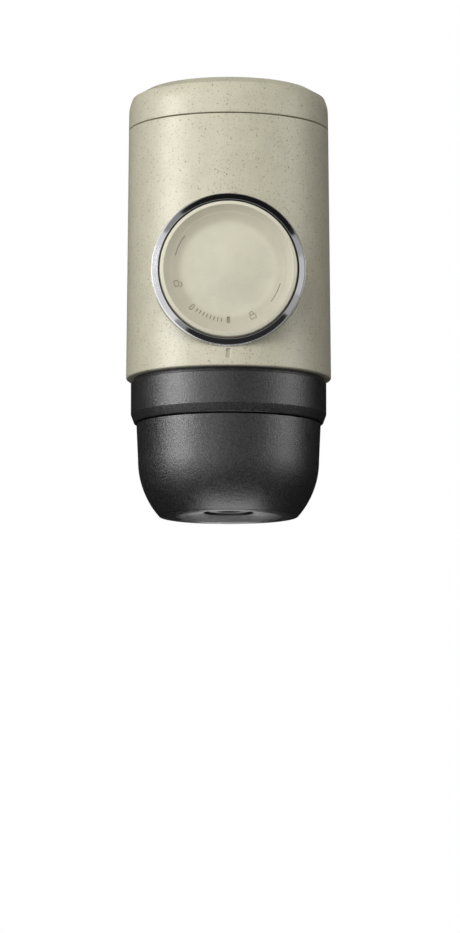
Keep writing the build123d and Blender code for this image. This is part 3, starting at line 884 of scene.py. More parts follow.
def rounded_box(half: float, bottom: float, top: float, corner: float, steps: int = 4) -> Outline:
    """The outline of a box with rounded corners.

    Args:
        half: Half of its width.
        bottom: Its lower side.
        top: Its upper side.
        corner: Radius of its corners.
        steps: Steps in each corner.

    Returns:
        Points round it, as (across, up).
    """
    centres = (
        (half - corner, top - corner, 0.0),
        (corner - half, top - corner, pi / 2),
        (corner - half, bottom + corner, pi),
        (half - corner, bottom + corner, 3 * pi / 2),
    )
    return [
        (x + corner * cos(start + pi / 2 * i / steps), y + corner * sin(start + pi / 2 * i / steps))
        for x, y, start in centres
        for i in range(steps + 1)
    ]


def stamp(name: str, outline: Outline, place: Matrix, depth: float, bevel: float) -> Piece:
    """Make the cutter of a sunk mark with sloping upper edges.

    Args:
        name: The cutter's name.
        outline: The mark's outline, as (across, up).
        place: Frame of the mark; its third direction points out of the surface.
        depth: Depth of the mark's floor.
        bevel: Width of the sloping edge.

    Returns:
        The cutter.
    """
    shape = bmesh.new()
    rings = []
    for height, spread in ((-depth, 0.0), (-bevel, 0.0), (0.0, bevel), (depth, bevel)):
        ring = []
        for across, up in outline:
            away = Vector((copysign(spread, across), copysign(spread, up)))
            ring.append(shape.verts.new(place @ Vector((across + away.x, up + away.y, height))))
        rings.append(ring)
    count = len(outline)
    for lower, upper in zip(rings, rings[1:]):
        for i in range(count):
            near = (i + 1) % count
            shape.faces.new((lower[i], lower[near], upper[near], upper[i]))
    shape.faces.new(rings[0])
    shape.faces.new(rings[-1])
    return solid(name, shape)


# ---------------------------------------------------------------- geometry trees


class Tree(NodeSheet):
    """A Geometry Nodes tree with named inputs, run once to give a plain mesh."""

    def __init__(self, name: str, sizes: dict[str, Union[float, int]]) -> None:
        """Make a tree.

        Args:
            name: The tree's name.
            sizes: Its inputs and their values; whole numbers become integer inputs.
        """
        super().__init__(bpy.data.node_groups.new(name, "GeometryNodeTree"))
        self.sizes = sizes
        self.sockets: dict[str, str] = {}
        self.tree.interface.new_socket("Geometry", in_out="INPUT", socket_type="NodeSocketGeometry")
        for label, value in sizes.items():
            kind = "NodeSocketInt" if isinstance(value, int) else "NodeSocketFloat"
            item = self.tree.interface.new_socket(label, in_out="INPUT", socket_type=kind)
            self.sockets[label] = item.identifier
        self.tree.interface.new_socket("Geometry", in_out="OUTPUT", socket_type="NodeSocketGeometry")
        self.source = self.add("NodeGroupInput")

    def size(self, label: str) -> Socket:
        """The output socket of a named input."""
        return self.source.outputs[label]

    def half(self, value: Value) -> Socket:
        """Half of a value."""
        return self.maths("DIVIDE", value, 2.0)

    def sweep(self, path: Socket, sides: Value, radius: Value) -> Socket:
        """Sweep a round wire along a curve.

        Args:
            path: The curve.
            sides: Sides of the wire's section.
            radius: The wire's radius.

        Returns:
            The wire's mesh, closed at its ends.
        """
        ring = self.add("GeometryNodeCurvePrimitiveCircle", {"Resolution": sides, "Radius": radius})
        inputs = {"Curve": path, "Profile Curve": ring.outputs[0], "Fill Caps": True}
        return self.add("GeometryNodeCurveToMesh", inputs).outputs[0]

    def around(
        self, shape: Socket, count: Value, first: Value = 0.0, pitch: Optional[Value] = None
    ) -> Socket:
        """Copy a shape round the Z axis.

        Args:
            shape: The shape.
            count: How many copies stand there.
            first: Angle of the first.
            pitch: Angle between two of them; without it they share the whole turn.

        Returns:
            The copies.
        """
        spots = self.add("GeometryNodePoints", {"Count": count}).outputs[0]
        index = self.add("GeometryNodeInputIndex").outputs[0]
        if pitch is None:
            share = self.maths("DIVIDE", self.maths("MULTIPLY", index, FULL_TURN), count)
        else:
            share = self.maths("MULTIPLY", index, pitch)
        angle = self.vector(z=self.maths("ADD", first, share))
        inputs = {"Points": spots, "Instance": shape, "Rotation": angle}
        return self.add("GeometryNodeInstanceOnPoints", inputs).outputs[0]

    def run(
        self,
        geometry: Socket,
        finish: Finish,
        spindle: Spindle = UPRIGHT,
        source: Optional[bpy.types.Mesh] = None,
    ) -> Piece:
        """End the tree, run it once and keep the result as a plain mesh.

        Args:
            geometry: The geometry to keep.
            finish: The material that the tree sets.
            spindle: The line that what stands round the Z axis is moved to.
            source: The mesh that the tree starts from, if it needs one.

        Returns:
            The object with the mesh, without the modifier.
        """
        real = self.add("GeometryNodeRealizeInstances", {"Geometry": geometry}).outputs[0]
        dressed = self.add("GeometryNodeSetMaterial", {"Geometry": real, "Material": finish})
        self.add("NodeGroupOutput", {0: dressed.outputs[0]})
        name = self.tree.name
        piece = linked(name, source or bpy.data.meshes.new(name))
        modifier = piece.modifiers.new("shape", "NODES")
        modifier.node_group = self.tree
        for label, value in self.sizes.items():
            modifier[self.sockets[label]] = value
        bake(piece, modifier)
        spindle.carry(piece)
        return piece


def inputs_of(shape: object) -> dict[str, Union[float, int]]:
    """The sizes of a shape as the inputs of its tree, named after its fields."""
    return {name.replace("_", " ").title(): value for name, value in vars(shape).items()}


@dataclass(frozen=True)
class Coil:
    """A thread ridge or a spring.

    Attributes:
        radius: Radius of the wire's middle line.
        wire: Radius of the wire.
        start: Where the coil starts along its spindle.
        height: Its length along the spindle.
        turns: Turns of each start.
        starts: Number of ridges side by side.
        closing: How much closer the turns lie at the ends, from 0 to 1.
        fade: Share of its length in which each end thins out.
        thinnest: Least thickness of its ends, as a share of the wire's.
        sides: Sides of the wire's section.
        turn_steps: Steps in each turn.
    """

    radius: float
    wire: float
    start: float
    height: float
    turns: float
    starts: int
    closing: float = 0.0
    fade: float = 0.12
    thinnest: float = 0.08
    sides: int = 12
    turn_steps: int = 72

    def wind(self, name: str, spindle: Spindle, finish: Finish) -> Piece:
        """Wind the coil with Geometry Nodes.

        Args:
            name: The piece's name.
            spindle: The line it winds round.
            finish: Its material.

        Returns:
            The coil as a plain mesh.
        """
        tree = Tree(name, inputs_of(self))
        line = tree.add("GeometryNodeCurvePrimitiveLine").outputs[0]
        steps = tree.maths("CEIL", tree.maths("MULTIPLY", tree.size("Turns"), tree.size("Turn Steps")))
        points = tree.add("GeometryNodeResampleCurve", {"Curve": line, "Count": steps})
        along = tree.add("GeometryNodeSplineParameter").outputs["Factor"]
        angle = tree.maths("MULTIPLY", tree.maths("MULTIPLY", along, tree.size("Turns")), FULL_TURN)
        wave = tree.maths("SINE", tree.maths("MULTIPLY", along, FULL_TURN))
        held = tree.maths("MULTIPLY", tree.maths("MULTIPLY", wave, 1 / FULL_TURN), tree.size("Closing"))
        rise = tree.maths("MULTIPLY", tree.maths("SUBTRACT", along, held), tree.size("Height"))
        spot = tree.vector(
            tree.maths("MULTIPLY", tree.maths("COSINE", angle), tree.size("Radius")),
            tree.maths("MULTIPLY", tree.maths("SINE", angle), tree.size("Radius")),
            tree.maths("ADD", rise, tree.size("Start")),
        )
        path = tree.add("GeometryNodeSetPosition", {"Geometry": points.outputs[0], "Position": spot})
        near_end = tree.maths("MINIMUM", along, tree.maths("SUBTRACT", 1.0, along))
        thinning = tree.maths("DIVIDE", near_end, tree.maths("MAXIMUM", tree.size("Fade"), TINY))
        even = tree.maths("LESS_THAN", tree.size("Fade"), TINY)
        faded = tree.maths("MAXIMUM", tree.maths("MINIMUM", thinning, 1.0), even)
        thick = tree.maths("MAXIMUM", faded, tree.size("Thinnest"))
        sized = tree.add("GeometryNodeSetCurveRadius", {"Curve": path.outputs[0], "Radius": thick})
        ridge = tree.sweep(sized.outputs[0], tree.size("Sides"), tree.size("Wire"))
        return tree.run(tree.around(ridge, tree.size("Starts")), finish, spindle)


@dataclass(frozen=True)
class Ticks:
    """Cutters of short radial ticks in a row round a spindle.

    Attributes:
        count: How many there are.
        inner: Where they start, as a distance from the spindle.
        outer: Where they end.
        inner_front: Place along the spindle where they start.
        outer_front: Place along the spindle where they end.
        first: Angle of the first.
        pitch: Angle between two of them.
        width: Their width.
        sides: Sides of their section.
    """

    count: int
    inner: float
    outer: float
    inner_front: float
    outer_front: float
    first: float
    pitch: float
    width: float
    sides: int = 10

    def make(self, name: str, spindle: Spindle, finish: Finish) -> Piece:
        """Make the cutters with Geometry Nodes.

        Args:
            name: The piece's name.
            spindle: The line that the ticks stand round.
            finish: The cutters' material.

        Returns:
            The cutters as a plain mesh.
        """
        tree = Tree(name, inputs_of(self))
        start = tree.vector(tree.size("Inner"), 0.0, tree.size("Inner Front"))
        end = tree.vector(tree.size("Outer"), 0.0, tree.size("Outer Front"))
        line = tree.add("GeometryNodeCurvePrimitiveLine", {"Start": start, "End": end}).outputs[0]
        bar = tree.sweep(line, tree.size("Sides"), tree.half(tree.size("Width")))
        row = tree.around(bar, tree.size("Count"), tree.size("First"), tree.size("Pitch"))
        return tree.run(row, finish, spindle)


@dataclass(frozen=True)
class PolarBlocks:
    """Equal blocks in a ring, such as bayonet lugs.

    Attributes:
        count: How many there are.
        inner: Where they start, as a distance from the spindle.
        outer: Where they end.
        width: Their width.
        back: Where they start along the spindle.
        length: Their length along the spindle.
        first: Angle of the first.
    """

    count: int
    inner: float
    outer: float
    width: float
    back: float
    length: float
    first: float

    def make(self, name: str, spindle: Spindle, finish: Finish) -> Piece:
        """Make the blocks with Geometry Nodes.

        Args:
            name: The piece's name.
            spindle: The line that the blocks stand round.
            finish: Their material.

        Returns:
            The blocks as a plain mesh.
        """
        tree = Tree(name, inputs_of(self))
        reach = tree.maths("SUBTRACT", tree.size("Outer"), tree.size("Inner"))
        extent = tree.vector(reach, tree.size("Width"), tree.size("Length"))
        block = tree.add("GeometryNodeMeshCube", {"Size": extent}).outputs[0]
        middle = tree.vector(
            tree.half(tree.maths("ADD", tree.size("Outer"), tree.size("Inner"))),
            0.0,
            tree.maths("ADD", tree.size("Back"), tree.half(tree.size("Length"))),
        )
        placed = tree.add("GeometryNodeTransform", {"Geometry": block, "Translation": middle}).outputs[0]
        ring = tree.around(placed, tree.size("Count"), tree.size("First"))
        return tree.run(ring, finish, spindle)


@dataclass(frozen=True)
class Stroke:
    """A line of a drawn mark.

    Attributes:
        points: Its points, on the mark's surface.
        closed: Whether its end joins its start.
    """

    points: list[Vector]
    closed: bool = False


@dataclass(frozen=True)
class Grooves:
    """Round-bottomed grooves that follow strokes.

    Attributes:
        strokes: The strokes.
        width: The grooves' width.
        sides: Sides of their cutters' section.
    """

    strokes: list[Stroke]
    width: float
    sides: int = 8

    def make(self, name: str, finish: Finish) -> Piece:
        """Sweep the cutters along the strokes with Geometry Nodes.

        Args:
            name: The piece's name.
            finish: The cutters' material.

        Returns:
            The cutters as a plain mesh.
        """
        places: list[Vector] = []
        lines: list[tuple[int, int]] = []
        for stroke in self.strokes:
            first = len(places)
            places += stroke.points
            lines += [(i, i + 1) for i in range(first, len(places) - 1)]
            if stroke.closed:
                lines.append((len(places) - 1, first))
        wires = bpy.data.meshes.new(name)
        wires.from_pydata(places, lines, [])
        tree = Tree(name, {"Width": self.width, "Sides": self.sides})
        path = tree.add("GeometryNodeMeshToCurve", {"Mesh": tree.size("Geometry")}).outputs[0]
        swept = tree.sweep(path, tree.size("Sides"), tree.half(tree.size("Width")))
        return tree.run(swept, finish, source=wires)


# ---------------------------------------------------------------- finishes


class Finishes:
    """One material for each of the record's slots, the ink of the knob's marks, and the painted shade of
    the index mark's floor.
    """

    def __init__(self) -> None:
        """Build every material."""
        cream = SpeckledPlastic(
            "cream_plastic", (0.615, 0.59, 0.455), (0.22, 0.155, 0.08), rim_colour=(0.7, 0.675, 0.54)
        )
        face_specks = (Specks(0.8 * MM, 0.16 * MM, 0.4, 0.3),)
        # The face's plastic carries painted shade on the sloped band under the knob's rim
        face = SpeckledPlastic(
            "cream_face_plastic", (0.665, 0.64, 0.505), (0.33, 0.29, 0.2), face_specks, slope_shade_paint=0.32
        )
        recipes = {
            Slot.CREAM: cream,
            Slot.FACE: face,
            Slot.BLACK: GrainedPlastic("black_plastic", (0.014, 0.014, 0.0145), roughness=0.38, gloss=0.85),
            Slot.INNER: GrainedPlastic("inner_plastic", (0.018, 0.018, 0.02), roughness=0.5),
            Slot.TANK: SmokedPlastic("smoked_plastic", (0.32, 0.31, 0.29)),
            Slot.CHROME: TurnedMetal("polished_ring", (0.62, 0.62, 0.63), roughness=0.08, level=True),
            Slot.STEEL: TurnedMetal("turned_steel", (0.56, 0.55, 0.53), roughness=0.24),
            Slot.RUBBER: SoftRubber("grey_silicone", (0.16, 0.16, 0.16)),
            Slot.BARREL: GrainedPlastic("barrel_plastic", (0.62, 0.62, 0.6), roughness=0.34, contrast=0.05),
        }
        self.by_slot = {slot: recipe.material() for slot, recipe in recipes.items()}
        ink = GrainedPlastic("mark_ink", (0.31, 0.28, 0.205), roughness=0.55, contrast=0.12)
        # A darker cream painted on the index mark's floor as the shade in its recess
        recess_shade_paint = GrainedPlastic("recess_shade_paint", (0.5, 0.48, 0.37), roughness=0.5, contrast=0.12)
        self.ink = ink.material()
        self.recess_shade_paint = recess_shade_paint.material()

    def __getitem__(self, slot: Slot) -> Finish:
        """The material of a slot."""
        return self.by_slot[slot]

    def dress_frame(self) -> None:
        """Give every CAD node the material of its slot."""
        for entry in frame["record"]["subparts"]:
            node = frame["nodes"][entry["node"]]
            finish = self[Slot(entry["material_slot"])]
            if not node.material_slots:
                node.data.materials.append(finish)
            for place in node.material_slots:
                place.material = finish

    def dress(self, piece: Piece, slot: Slot) -> None:
        """Give a piece its slot's material, unless it has marks in another one.

        Args:
            piece: The finished piece.
            slot: Its material slot.
        """
        if len(piece.data.materials) < 2:
            piece.data.materials.clear()
            piece.data.materials.append(self[slot])

    def seat(self, piece: Piece, body: Body, slot: Slot, *nodes: str) -> None:
        """Dress a finished piece, hang it on its body and let it stand for its CAD nodes.

        Args:
            piece: The piece.
            body: The body that it rides on.
            slot: Its material slot.
            nodes: The CAD nodes that it replaces.
        """
        self.dress(piece, slot)
        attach(piece, body.value)
        if nodes:
            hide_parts(*nodes)
        log.info("%s: %d faces on %s", piece.name, len(piece.data.polygons), body.value)


# ---------------------------------------------------------------- pieces


@dataclass
class OutletHead:
    """Black cup under the body: curved side, dished foot, threaded neck and the spout's ring."""

    finishes: Finishes
    neck_wall: float = 1.9 * MM
    neck_height: float = 9.8 * MM
    shoulder_radius: float = 27.8 * MM
    waist_inset: float = 0.5 * MM
    waist_height: float = 17.0 * MM
    side_steps: int = 22
    foot_radius: float = 20.8 * MM
    foot_rounding: float = 0.6 * MM
    neck_radius: float = 24.5 * MM
    floor_height: float = 7.4 * MM
    funnel_radius: float = 18.0 * MM
    funnel_depth: float = 1.6 * MM
    dish_radius: float = 16.0 * MM
    dish_depth: float = 1.2 * MM
    recess_radius: float = 7.5 * MM
    recess_depth: float = 1.5 * MM
    stub_radius: float = 3.0 * MM
    stub_bore: float = 1.6 * MM
    stub_bore_edge: float = 0.4 * MM
    spout_radius: float = 6.4 * MM
    spout_edge: float = 0.25 * MM
    spout_flare: float = 3.7 * MM
    spout_flare_edge: float = 0.2 * MM
    spout_thickness: float = 1.0 * MM
    spout_segments: int = 128
    groove_depth: float = 1.1 * MM
    groove_width: float = 1.8 * MM
    groove_setback: float = 1.8 * MM
    edge: float = 0.3 * MM
    grid: float = 2.0 * MM
    thread: Coil = Coil(24.2 * MM, wire=0.52 * MM, start=29.6 * MM, height=3.9 * MM, turns=0.49, starts=4)

    def side(self) -> list[Corner]:
        """Draw the curved side, an arc that stands upright at the waist.

        Returns:
            Its corners from the foot up, without the one on the foot itself.
        """
        waist = self.shoulder_radius - self.waist_inset
        run = waist - self.foot_radius
        bend = (self.waist_height**2 + run**2) / (2 * run)
        centre = Vector((waist - bend, self.waist_height))
        return arc_corners(centre, bend, -asin(self.waist_height / bend), 0.0, self.side_steps)[1:]

    def cup(self) -> Piece:
        """Turn the head's shell.

        Returns:
            The shell, with its foot, neck and seal groove.
        """
        neck_top = Room.of("head_shell").top
        shoulder = neck_top - self.neck_height
        groove_top = neck_top - self.groove_setback
        groove_bottom = groove_top - self.groove_width
        groove_radius = self.neck_radius - self.groove_depth
        bore = self.neck_radius - self.neck_wall
        recess_top = self.dish_depth + self.recess_depth
        outline = [
            Corner(self.stub_radius, recess_top),
            Corner(self.recess_radius, recess_top),
            Corner(self.recess_radius, self.dish_depth, self.edge),
            Corner(self.dish_radius, 0.0, self.edge),
            Corner(self.foot_radius, 0.0, self.foot_rounding),
            *self.side(),
            Corner(self.shoulder_radius, shoulder, self.edge),
            Corner(self.neck_radius, shoulder),
            Corner(self.neck_radius, groove_bottom),
            Corner(groove_radius, groove_bottom),
            Corner(groove_radius, groove_top),
            Corner(self.neck_radius, groove_top),
            Corner(self.neck_radius, neck_top, self.edge),
            Corner(bore, neck_top, self.edge),
            Corner(bore, self.floor_height),
            Corner(self.funnel_radius, self.floor_height),
            Corner(self.stub_radius, self.floor_height - self.funnel_depth),
        ]
        return UPRIGHT.lathe("outlet_head", outline, self.grid)

    def spout(self) -> Piece:
        """Turn the ring and stub in the middle of the foot.

        Returns:
            The ring, in one with the stub.
        """
        room = Room.of("outlet_spout")
        ring_top = room.bottom + self.spout_thickness
        outline = [
            Corner(self.spout_flare, room.bottom, self.spout_flare_edge),
            Corner(self.spout_radius, room.bottom, self.spout_edge),
            Corner(self.spout_radius, ring_top),
            Corner(self.stub_radius, ring_top),
            Corner(self.stub_radius, room.top),
            Corner(self.stub_bore, room.top),
            Corner(self.stub_bore, ring_top, self.stub_bore_edge),
        ]
        return UPRIGHT.turn("spout_ring", rounded(outline), self.spout_segments)

    def build(self) -> None:
        """Make the head's pieces and hang them on the head."""
        self.finishes.seat(self.cup(), Body.HEAD, Slot.BLACK, "head_shell")
        self.finishes.seat(self.spout(), Body.HEAD, Slot.BLACK, "outlet_spout")
        thread = self.thread.wind("neck_thread", UPRIGHT, self.finishes[Slot.BLACK])
        self.finishes.seat(thread, Body.HEAD, Slot.BLACK)


@dataclass
class NeckCollar:
    """Black ring between the body and the head."""

    finishes: Finishes
    thread_radius: float = 24.9 * MM
    chamfer_width: float = 0.95 * MM
    chamfer_height: float = 2.6 * MM
    chamfer_rounding: float = 0.7 * MM
    recess_depth: float = 0.6 * MM
    recess_height: float = 1.2 * MM
    recess_slope: float = 0.25 * MM
    spigot_radius: float = 28.1 * MM
    pocket_radius: float = 24.0 * MM
    ledge_radius: float = 22.5 * MM
    thread_depth: float = 10.2 * MM
    ledge_thickness: float = 2.5 * MM
    edge: float = 0.25 * MM
    grid: float = 2.0 * MM

    def ring(self) -> Piece:
        """Turn the collar.

        Returns:
            The collar, with its recess under the body and the ledge for the needle plate.
        """
        room = Room.of("neck_collar")
        body_bottom = Room.of("body_shell").bottom
        recess_bottom = body_bottom - self.recess_height
        recess_radius = room.radius - self.recess_depth
        thread_top = room.bottom + self.thread_depth
        ledge_top = thread_top + self.ledge_thickness
        outline = [
            Corner(self.thread_radius, room.bottom, self.edge),
            Corner(room.radius - self.chamfer_width, room.bottom, self.edge),
            Corner(room.radius, room.bottom + self.chamfer_height, self.chamfer_rounding),
            Corner(room.radius, recess_bottom, self.edge),
            Corner(recess_radius, recess_bottom),
            Corner(recess_radius - self.recess_slope, body_bottom),
            Corner(self.spigot_radius, body_bottom),
            Corner(self.spigot_radius, room.top),
            Corner(self.pocket_radius, room.top),
            Corner(self.pocket_radius, ledge_top),
            Corner(self.ledge_radius, ledge_top),
            Corner(self.ledge_radius, thread_top),
            Corner(self.thread_radius, thread_top),
        ]
        return UPRIGHT.lathe("collar_ring", outline, self.grid)

    def build(self) -> None:
        """Make the collar and hang it on the body."""
        self.finishes.seat(self.ring(), Body.MAIN, Slot.BLACK, "neck_collar")


@dataclass
class BodyCasing:
    """Cream tube, slightly tapered, with the round boss for the pump and the index mark."""

    finishes: Finishes
    foot_radius: float = 30.95 * MM
    taper: float = 0.65 * MM
    wall: float = 2.0 * MM
    edge: float = 0.5 * MM
    seam_edge: float = 0.25 * MM
    boss_wall: float = 0.85 * MM
    sleeve_room: float = 0.1 * MM
    mark_height: float = 45.2 * MM
    mark_width: float = 1.05 * MM
    mark_length: float = 2.6 * MM
    mark_corner: float = 0.22 * MM
    mark_depth: float = 0.5 * MM
    mark_bevel: float = 0.3 * MM
    grid: float = 1.4 * MM
    segments: int = 256
    plug_segments: int = 192

    def tube(self, bore: float) -> Piece:
        """Turn the tube.

        Args:
            bore: Radius of its bore.

        Returns:
            The tube, still without its boss and mark.
        """
        room = Room.of("body_shell")
        outline = [
            Corner(bore, room.bottom),
            Corner(self.foot_radius, room.bottom, self.edge),
            Corner(self.foot_radius - self.taper, room.top, self.seam_edge),
            Corner(bore, room.top),
        ]
        return UPRIGHT.lathe("body_casing", outline, self.grid, self.segments)

    def core(self, radius: float) -> Piece:
        """Turn a cylinder that runs through the tube and past its ends.

        Args:
            radius: Its radius.

        Returns:
            The cylinder.
        """
        room = Room.of("body_shell")
        rest = 2 * self.foot_radius
        outline = cylinder(radius, room.bottom - rest, room.top + rest)
        return UPRIGHT.turn("core", divided(outline, 2 * self.grid), self.segments)

    def plug(self, name: str, radius: float, back: float, front: float) -> Piece:
        """Turn a cylinder on the pump's spindle."""
        outline = cylinder(radius, back, front)
        return PUMP.turn(name, divided(outline, self.grid), self.plug_segments)

    def index_mark(self) -> Piece:
        """Make the cutter of the upright bar under the pump.

        Returns:
            The cutter, cream on its slopes and with a darker cream painted on its floor as the recess's
            shade.
        """
        rise = self.mark_length / 2
        outline = rounded_box(self.mark_width / 2, -rise, rise, self.mark_corner)
        place = Matrix.Translation(Vector((0, -self.foot_radius, self.mark_height))) @ FACING
        cutter = stamp("index_cutter", outline, place, self.mark_depth, self.mark_bevel)
        cutter.data.materials.append(self.finishes[Slot.CREAM])
        # Painted shade: the recess's floor takes the darker cream
        cutter.data.materials.append(self.finishes.recess_shade_paint)
        floor = max(cutter.data.polygons, key=lambda polygon: polygon.center.y)
        floor.material_index = 1
        return cutter

    def build(self) -> None:
        """Make the casing and hang it on the body.

        The mark is cut while the tube is still plain, and no cutter ends on a surface of the
        tube, because such a cut can leave a wall standing.
        """
        bore = self.foot_radius - self.taper - self.wall
        hole = SLEEVE_RADIUS + self.sleeve_room
        boss = hole + self.boss_wall
        far = 2 * self.foot_radius
        casing = self.tube(bore)
        casing.data.materials.append(self.finishes[Slot.CREAM])
        # The cutter's darker floor stays in the casing as painted shade in the mark's recess
        cut(casing, self.index_mark(), inked=True)
        collar = self.plug("boss", boss, sqrt(bore**2 - boss**2) - self.wall, BOSS_FRONT + self.wall)
        cut(collar, self.core(bore + self.wall / 2))
        cut(casing, collar, Join.ADD)
        cut(casing, self.plug("bore", hole, 0.0, far))
        cut(casing, self.plug("seat", Room.of("pump_bezel").radius, BOSS_FRONT, far))
        self.finishes.seat(casing, Body.MAIN, Slot.CREAM, "body_shell")


@dataclass
class PumpBezel:
    """Polished ring round the knob, in one with the sleeve that the knob runs in."""

    finishes: Finishes
    bore_radius: float = 20.85 * MM
    slope_drop: float = 0.75 * MM
    lip_width: float = 0.28 * MM
    inner_edge: float = 0.12 * MM
    rounding: float = 0.1 * MM
    grid: float = 0.3 * MM
    segments: int = 320

    def build(self) -> None:
        """Turn the ring and hang it on the body."""
        room = Room.of("pump_bezel")
        lip_front = room.front - self.slope_drop
        outline = [
            Corner(self.bore_radius, room.back),
            Corner(SLEEVE_RADIUS, room.back),
            Corner(SLEEVE_RADIUS, BOSS_FRONT),
            Corner(room.radius, BOSS_FRONT),
            Corner(room.radius, lip_front, self.rounding),
            Corner(room.radius - self.lip_width, lip_front),
            Corner(self.bore_radius + self.inner_edge, room.front, self.rounding / 2),
            Corner(self.bore_radius, room.front),
        ]
        ring = PUMP.lathe("pump_ring", outline, self.grid, self.segments)
        self.finishes.seat(ring, Body.MAIN, Slot.CHROME, "pump_bezel")


@dataclass(frozen=True)
class Bowl:
    """The hollow front of the knob: a slope under the rim that eases off to a low crown.

    Attributes:
        rim_width: Width of the knob's rim.
        rim_step: How far the bowl starts behind the rim's front.
        dish: Depth of the slope.
        slope_width: Width of the slope.
        crown: Rise of the crown in the middle.
        grid: Distance between the points of its outline.
    """

    rim_width: float = 1.35 * MM
    rim_step: float = 0.1 * MM
    dish: float = 1.6 * MM
    slope_width: float = 6.3 * MM
    crown: float = 0.8 * MM
    grid: float = 0.6 * MM

    def rim(self) -> float:
        """How far from the knob's middle the bowl meets the rim."""
        return Room.of("knob_shell").radius - self.rim_width

    def front(self, reach: float) -> float:
        """How far to the front the bowl lies.

        Args:
            reach: The distance from the knob's middle.

        Returns:
            The place along the pump's spindle.
        """
        hollow = self.rim() - self.slope_width
        floor = Room.of("knob_shell").front - self.rim_step - self.dish
        if reach >= hollow:
            return floor + self.dish * ((reach - hollow) / self.slope_width) ** 2
        return floor + self.crown * (1.0 + cos(pi * reach / hollow)) / 2

    def lean(self, reach: float) -> float:
        """How steeply the bowl rises outwards at a distance from the knob's middle."""
        return (self.front(reach + self.grid) - self.front(reach - self.grid)) / (2 * self.grid)

    def points(self, inner: float, outer: float) -> list[Vector]:
        """Draw the bowl's outline.

        Args:
            inner: Where it ends, as a distance from the knob's middle.
            outer: Where it starts.

        Returns:
            Its points as (out, along), outermost first.
        """
        count = ceil((outer - inner) / self.grid)
        reaches = [outer + (inner - outer) * step / count for step in range(count + 1)]
        return [Vector((reach, self.front(reach))) for reach in reaches]

    def seam(self) -> float:
        """Where the bowl passes from the sloped band under the rim to the face."""
        drop = Room.of("knob_shell").front - self.rim_step - Room.of("knob_face").front
        return self.rim() - self.slope_width * (1.0 - sqrt(1.0 - drop / self.dish))

    def place(self, reach: float, angle: float, across: float = 0.0, outward: float = 0.0) -> Vector:
        """A place on the bowl near a mark.

        Args:
            reach: The mark's distance from the knob's middle.
            angle: The mark's angle, in degrees, from the user's right and anticlockwise.
            across: How far the place is beside the mark's middle, anticlockwise.
            outward: How far it is further out than the mark's middle.

        Returns:
            The place.
        """
        out = Vector((cos(radians(angle)), sin(radians(angle))))
        flat = out * (reach + outward) + Vector((-out.y, out.x)) * across
        return PUMP.point(flat.length, self.front(flat.length), atan2(flat.y, flat.x))

    def drawn(self, reach: float, angle: float, outline: Outline) -> list[Vector]:
        """Lay a mark's outline, as (across, outward), on the bowl round its place."""
        return [self.place(reach, angle, across, outward) for across, outward in outline]


@dataclass(frozen=True)
class Arc:
    """A thin arc on the knob's face.

    Attributes:
        reach: Its distance from the knob's middle.
        start: Angle where it starts, in degrees.
        end: Angle where it ends, in degrees.
        steps: Steps along it.
    """

    reach: float
    start: float
    end: float
    steps: int = 24

    def stroke(self, bowl: Bowl) -> Stroke:
        """Draw the arc on the bowl."""
        angles = [self.start + (self.end - self.start) * i / self.steps for i in range(self.steps + 1)]
        return Stroke([bowl.place(self.reach, angle) for angle in angles])


@dataclass(frozen=True)
class Padlock:
    """The sign of a small padlock that stands upright towards the knob's middle.

    Attributes:
        angle: Its place round the knob, in degrees.
        is_open: Whether its shackle is swung open.
        reach: Its distance from the knob's middle.
        half: Half of its width.
        height: Height of its box.
        corner: Radius of the box's corners.
        shackle: Radius of the shackle.
        legs: Length of the shackle's legs.
        foot: Where the legs start, away from the box.
        swing: How far an open shackle stands to the side.
        steps: Steps round the shackle.
    """

    angle: float
    is_open: bool
    reach: float = 15.4 * MM
    half: float = 0.85 * MM
    height: float = 1.25 * MM
    corner: float = 0.25 * MM
    shackle: float = 0.5 * MM
    legs: float = 0.35 * MM
    foot: float = -0.16 * MM
    swing: float = 0.55 * MM
    steps: int = 10

    def strokes(self, bowl: Bowl) -> list[Stroke]:
        """Draw the padlock on the bowl.

        Args:
            bowl: The knob's bowl.

        Returns:
            Its box and its shackle.
        """
        swing = self.swing if self.is_open else 0.0
        bend = self.foot - self.legs
        turns = [pi * step / self.steps for step in range(self.steps + 1)]
        shackle = [(swing + self.shackle, self.foot)]
        shackle += [(swing + self.shackle * cos(turn), bend - self.shackle * sin(turn)) for turn in turns]
        if not self.is_open:
            shackle.append((-self.shackle, self.foot))
        box = rounded_box(self.half, 0.0, self.height, self.corner)
        return [
            Stroke(bowl.drawn(self.reach, self.angle, box), closed=True),
            Stroke(bowl.drawn(self.reach, self.angle, shackle)),
        ]


